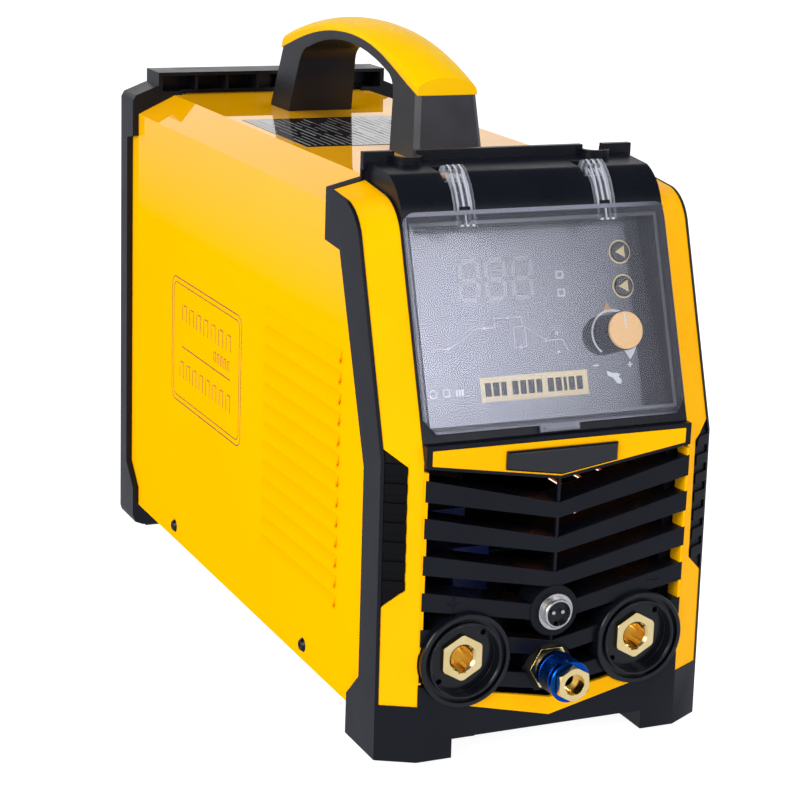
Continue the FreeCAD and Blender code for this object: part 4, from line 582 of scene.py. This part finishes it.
# generic signs, plus and minus, a hand, and the knob's scale, which widens as it goes round
signs = Marks(on_film, 0.10)
signs.band(circle(-61.2, 34.9, 2.3, 24), circle(-61.2, 34.9, 1.8, 24))
signs.band(rounded_box(-55.8, -51.6, 33.0, 37.0, 0.8, 3), rounded_box(-55.3, -52.1, 33.5, 36.5, 0.4, 3))
for k in range(3):
    signs.bar(-48.4 + 1.7 * k, -47.2 + 1.7 * k, 32.8, 36.4)
signs.bar(33.8, 36.8, 42.9, 43.6)
signs.bar(54.5, 57.5, 42.0, 42.7)
signs.bar(55.65, 56.35, 40.85, 43.85)
signs.shape([(41.4, 40.0), (41.8, 37.4), (44.6, 36.0), (47.0, 32.8), (49.4, 32.4), (49.8, 34.6), (48.2, 36.6),
             (49.6, 37.4), (47.6, 38.4), (44.6, 38.6)])
SCALE_STEPS = 44
SCALE_START, SCALE_TURN = -128, -290
SCALE_INNER = 11.6
scale_outer = []
scale_inner = []
for k in range(SCALE_STEPS + 1):
    share = k / SCALE_STEPS
    angle = math.radians(SCALE_START + SCALE_TURN * share)
    scale_inner.append((KNOB_X + SCALE_INNER * math.cos(angle), KNOB_V + SCALE_INNER * math.sin(angle)))
    reach = 12.7 + 4.6 * share ** 4
    scale_outer.append((KNOB_X + reach * math.cos(angle), KNOB_V + reach * math.sin(angle)))
for k in range(SCALE_STEPS):
    signs.shape([scale_inner[k], scale_outer[k], scale_outer[k + 1], scale_inner[k + 1]][::-1])
signs.make("panel_signs", WHITE_INK, "machine")

pointer = Marks(on_film, 0.12)
pointer.shape([(43.4, 72.4), (48.0, 72.4), (45.6, 76.6)])
pointer.make("scale_pointer", ORANGE_INK, "machine")

rings = Marks(on_film, 0.10)
for v in KEY_V:
    rings.band(circle(KEY_X, v, 6.5), circle(KEY_X, v, 5.6))
rings.make("key_rings", YELLOW_INK, "machine")
for name, v, body in (("upper_arrow", KEY_V[0], "key_upper"), ("lower_arrow", KEY_V[1], "key_lower")):
    arrow = Marks(on_key, 0.10)
    arrow.shape([(KEY_X - 3.4, v), (KEY_X + 2.2, v - 3.2), (KEY_X + 2.2, v + 3.2)])
    arrow.make(name, YELLOW_INK, body)

line = Marks(on_cap, 0.08)
line.bar(KNOB_X - 0.45, KNOB_X + 0.45, KNOB_V + 1.0, KNOB_V + 8.8)
line.make("knob_line", WHITE_INK, "knob_group")

# line pattern on the left side: two frames, a rule, and three rows of plain brackets
side = Marks(on_left_side, 0.06)
side.band(rounded_box(14.0, 140.6, 106.0, 186.5, 7), rounded_box(14.7, 139.9, 106.7, 185.8, 6.3))
side.band(rounded_box(17.4, 137.2, 109.4, 183.1, 5.5), rounded_box(18.0, 136.6, 110.0, 182.5, 4.9))
side.bar(33.0, 121.0, 143.0, 143.7)
for low, tall, left, count, pitch in ((160, 10, 121, 7, 13.4), (148, 6, 62, 5, 6.0), (123, 10, 125, 8, 12.2)):
    for k in range(count):
        a = left - pitch * k
        side.bar(a - pitch * 0.6, a - pitch * 0.6 + 0.7, low, low + tall)
        side.bar(a - pitch * 0.6, a - pitch * 0.2, low + tall, low + tall + 0.7)
        side.bar(a - 0.7, a, low, low + tall)
side.make("side_frame", BLACK_INK, "machine")

# rows of plain dashes on the rating label
rating = Marks(on_top, 0.05)
for row in range(24):
    cx = -61.0 + 4.3 * row
    starts = (-4, 30, 62) if row % 3 else (-4, 48)
    for k, start in enumerate(starts):
        span = 26 + 7 * ((row * 5 + k * 3) % 4) - 10 * (k == 2)
        wide = 1.3 if (row + k) % 5 == 0 else 0.7
        rating.bar(cx, cx + wide, start, min(start + span, 94))
rating.make("rating_rows", LABEL_INK, "machine")


def knurled_sleeve():
    """The release sleeve again, with its knurled grip: diamonds between two smooth bands."""
    front, rear, bore, r_max = -234.6, -216.2, 7.5, 11.6
    knurl_front, knurl_rear = front + 5.4, rear - 4.4
    profile = [(bore, front), (r_max - 0.6, front), (r_max, front + 0.6), (r_max, front + 2.6),
               (r_max - 0.7, front + 3.2), (r_max - 0.7, front + 4.2), (r_max - 0.2, front + 4.6)]
    rows = 17
    for k in range(rows):
        profile.append((None, knurl_front + (knurl_rear - knurl_front) * k / (rows - 1)))
    profile += [(r_max - 0.2, rear - 4.0), (r_max - 0.2, rear - 3.2), (r_max - 0.8, rear - 2.8),
                (r_max - 0.8, rear), (8.5, rear), (8.5, front + 6.5), (bore, front + 6.5)]
    count = 208
    teeth = 52
    bm = bmesh.new()
    rings_made = []
    for radius, y in profile:
        ring = []
        for i in range(count):
            a = 2 * math.pi * i / count
            r = radius
            if radius is None:
                t = (y - knurl_front) * 1.9
                crest = abs(math.cos(teeth / 2 * a + t)) * abs(math.cos(teeth / 2 * a - t))
                r = r_max - 0.62 + 0.42 * crest
            ring.append(bm.verts.new(P(r * math.cos(a), y, GAS_Z + r * math.sin(a))))
        rings_made.append(ring)
    for k in range(len(rings_made)):
        a, b = rings_made[k], rings_made[(k + 1) % len(rings_made)]
        for i in range(count):
            j = (i + 1) % count
            bm.faces.new((a[i], a[j], b[j], b[i]))
    bmesh.ops.recalc_face_normals(bm, faces=bm.faces)
    mesh = bpy.data.meshes.new("knurled_sleeve")
    bm.to_mesh(mesh)
    bm.free()
    mesh.materials.append(BLUE_METAL)
    obj = bpy.data.objects.new("knurled_sleeve", mesh)
    bpy.context.scene.collection.objects.link(obj)
    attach(obj, "release_sleeve")
    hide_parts("gas_coupling_sleeve")


knurled_sleeve()

# ribbed feet of the two arms on the cover's face, in the arms' pale painted-highlight material
feet = Marks(lambda x, v, d: lean_point(x, d + COVER_FRONT, v), 0.9)
for cx in (-ARM_X, ARM_X):
    for edge in (-5.6, -1.6, 1.0, 4.2):
        feet.bar(cx + edge, cx + edge + 1.2, 119.4, 124.6)
    feet.bar(cx - 5.6, cx + 5.4, 118.4, 119.4)
feet.make("arm_feet", ARM_CLEAR, "cover")


# ---- light and floor -----------------------------------------------------------------
MACHINE_MIDDLE = (0, 0, 0.15)
FLOOR_HALF = 25


def area_light(name, place, target, size, watts):
    data = bpy.data.lights.new(name, "AREA")
    data.size = size
    data.energy = watts
    lamp = bpy.data.objects.new(name, data)
    lamp.location = place
    lamp.rotation_mode = "QUATERNION"
    lamp.rotation_quaternion = (Vector(target) - Vector(place)).to_track_quat("-Z", "Y")
    bpy.context.scene.collection.objects.link(lamp)
    return lamp


world = bpy.data.worlds.new("studio")
world.use_nodes = True
sky = world.node_tree
ray = sky.nodes.new("ShaderNodeTexCoord").outputs["Generated"]
ray_parts = sky.nodes.new("ShaderNodeSeparateXYZ")
sky.links.new(ray, ray_parts.inputs["Vector"])


def sky_mix(factor, low, high):
    mix = sky.nodes.new("ShaderNodeMix")
    mix.data_type = "RGBA"
    sky.links.new(factor, mix.inputs["Factor"])
    for value, socket in ((low, mix.inputs["A"]), (high, mix.inputs["B"])):
        if isinstance(value, tuple):
            socket.default_value = (*value, 1)
        else:
            sky.links.new(value, socket)
    return mix.outputs["Result"]


def sky_step(value, start, end):
    m = sky.nodes.new("ShaderNodeMapRange")
    m.inputs["From Min"].default_value = start
    m.inputs["From Max"].default_value = end
    sky.links.new(value, m.inputs["Value"])
    return m.outputs["Result"]


# the sky is white low down and dark overhead; below the horizon it darkens towards the rear
to_rear = sky.nodes.new("ShaderNodeVectorMath")
to_rear.operation = "DOT_PRODUCT"
to_rear.inputs[1].default_value = (-0.45, 0.89, 0)
sky.links.new(ray, to_rear.inputs[0])
below = sky_mix(sky_step(to_rear.outputs["Value"], -0.6, 0.7), (0.80, 0.84, 0.94), (0.52, 0.54, 0.58))
above = sky_mix(sky_step(ray_parts.outputs["Z"], 0.34, 0.56), (1, 1, 1), (0.12, 0.125, 0.14))
full = sky_mix(sky_step(ray_parts.outputs["Z"], -0.02, 0.06), below, above)
sky.links.new(full, sky.nodes["Background"].inputs["Color"])
bpy.context.scene.world = world
area_light("key", (-2.4, -1.3, 1.3), MACHINE_MIDDLE, 1.4, 50)
top = area_light("top", (0.1, -0.3, 2.6), MACHINE_MIDDLE, 1.8, 42)
top.visible_glossy = False


def mirrored_card(name, corners, depth, distance, strength):
    """Bright card whose reflection fills the given patch of the control film."""
    outward = Vector((0, -math.cos(LEAN), math.sin(LEAN)))
    eye = camera.matrix_world.translation
    image = eye - 2 * (eye - lean_point(0, depth, 0)).dot(outward) * outward
    points = []
    for x, up_face in corners:
        p = lean_point(x, depth, up_face)
        points.append(p + (p - image).normalized() * distance)
    mesh = bpy.data.meshes.new(name)
    mesh.from_pydata(points, [], [(0, 1, 2, 3)])
    card = bpy.data.objects.new(name, mesh)
    bpy.context.scene.collection.objects.link(card)
    glow = bpy.data.materials.new(name)
    glow.use_nodes = True
    tree = glow.node_tree
    emission = tree.nodes.new("ShaderNodeEmission")
    fade = tree.nodes.new("ShaderNodeMapRange")
    spot = tree.nodes.new("ShaderNodeVectorMath")
    spot.operation = "DISTANCE"
    spot.inputs[1].default_value = points[0] * 0.35 + points[3] * 0.65
    tree.links.new(tree.nodes.new("ShaderNodeTexCoord").outputs["Object"], spot.inputs[0])
    fade.inputs["From Min"].default_value = 0.0
    fade.inputs["From Max"].default_value = (points[2] - points[0]).length
    fade.inputs["To Min"].default_value = strength
    fade.inputs["To Max"].default_value = strength * 0.03
    tree.links.new(spot.outputs["Value"], fade.inputs["Value"])
    emission.inputs["Color"].default_value = (0.885, 0.875, 1, 1)
    tree.links.new(fade.outputs["Result"], emission.inputs["Strength"])
    tree.links.new(emission.outputs["Emission"], tree.nodes["Material Output"].inputs["Surface"])
    mesh.materials.append(glow)
    card.visible_camera = False


mirrored_card("card", [(-100, 118), (56, 117), (64, 12), (-100, 12)], FILM_DEPTH, 0.9, 12.5)

floor_mesh = bpy.data.meshes.new("floor")
corners = [(x * FLOOR_HALF, y * FLOOR_HALF, 0) for x, y in ((-1, -1), (1, -1), (1, 1), (-1, 1))]
floor_mesh.from_pydata(corners, [], [(0, 1, 2, 3)])
floor = bpy.data.objects.new("floor", floor_mesh)
bpy.context.scene.collection.objects.link(floor)
paper = Shader("floor_paper", rough=0.8)
paper.colour((0.40, 0.40, 0.40), (0.44, 0.44, 0.44), 3.0)
paper.set("Emission Color", (1, 1, 1, 1))
paper.set("Emission Strength", 0.93)
paper.bump(paper.noise(220.0, 3.0), 0.05, 0.0003)
floor_mesh.materials.append(paper.material)
floor.visible_glossy = False
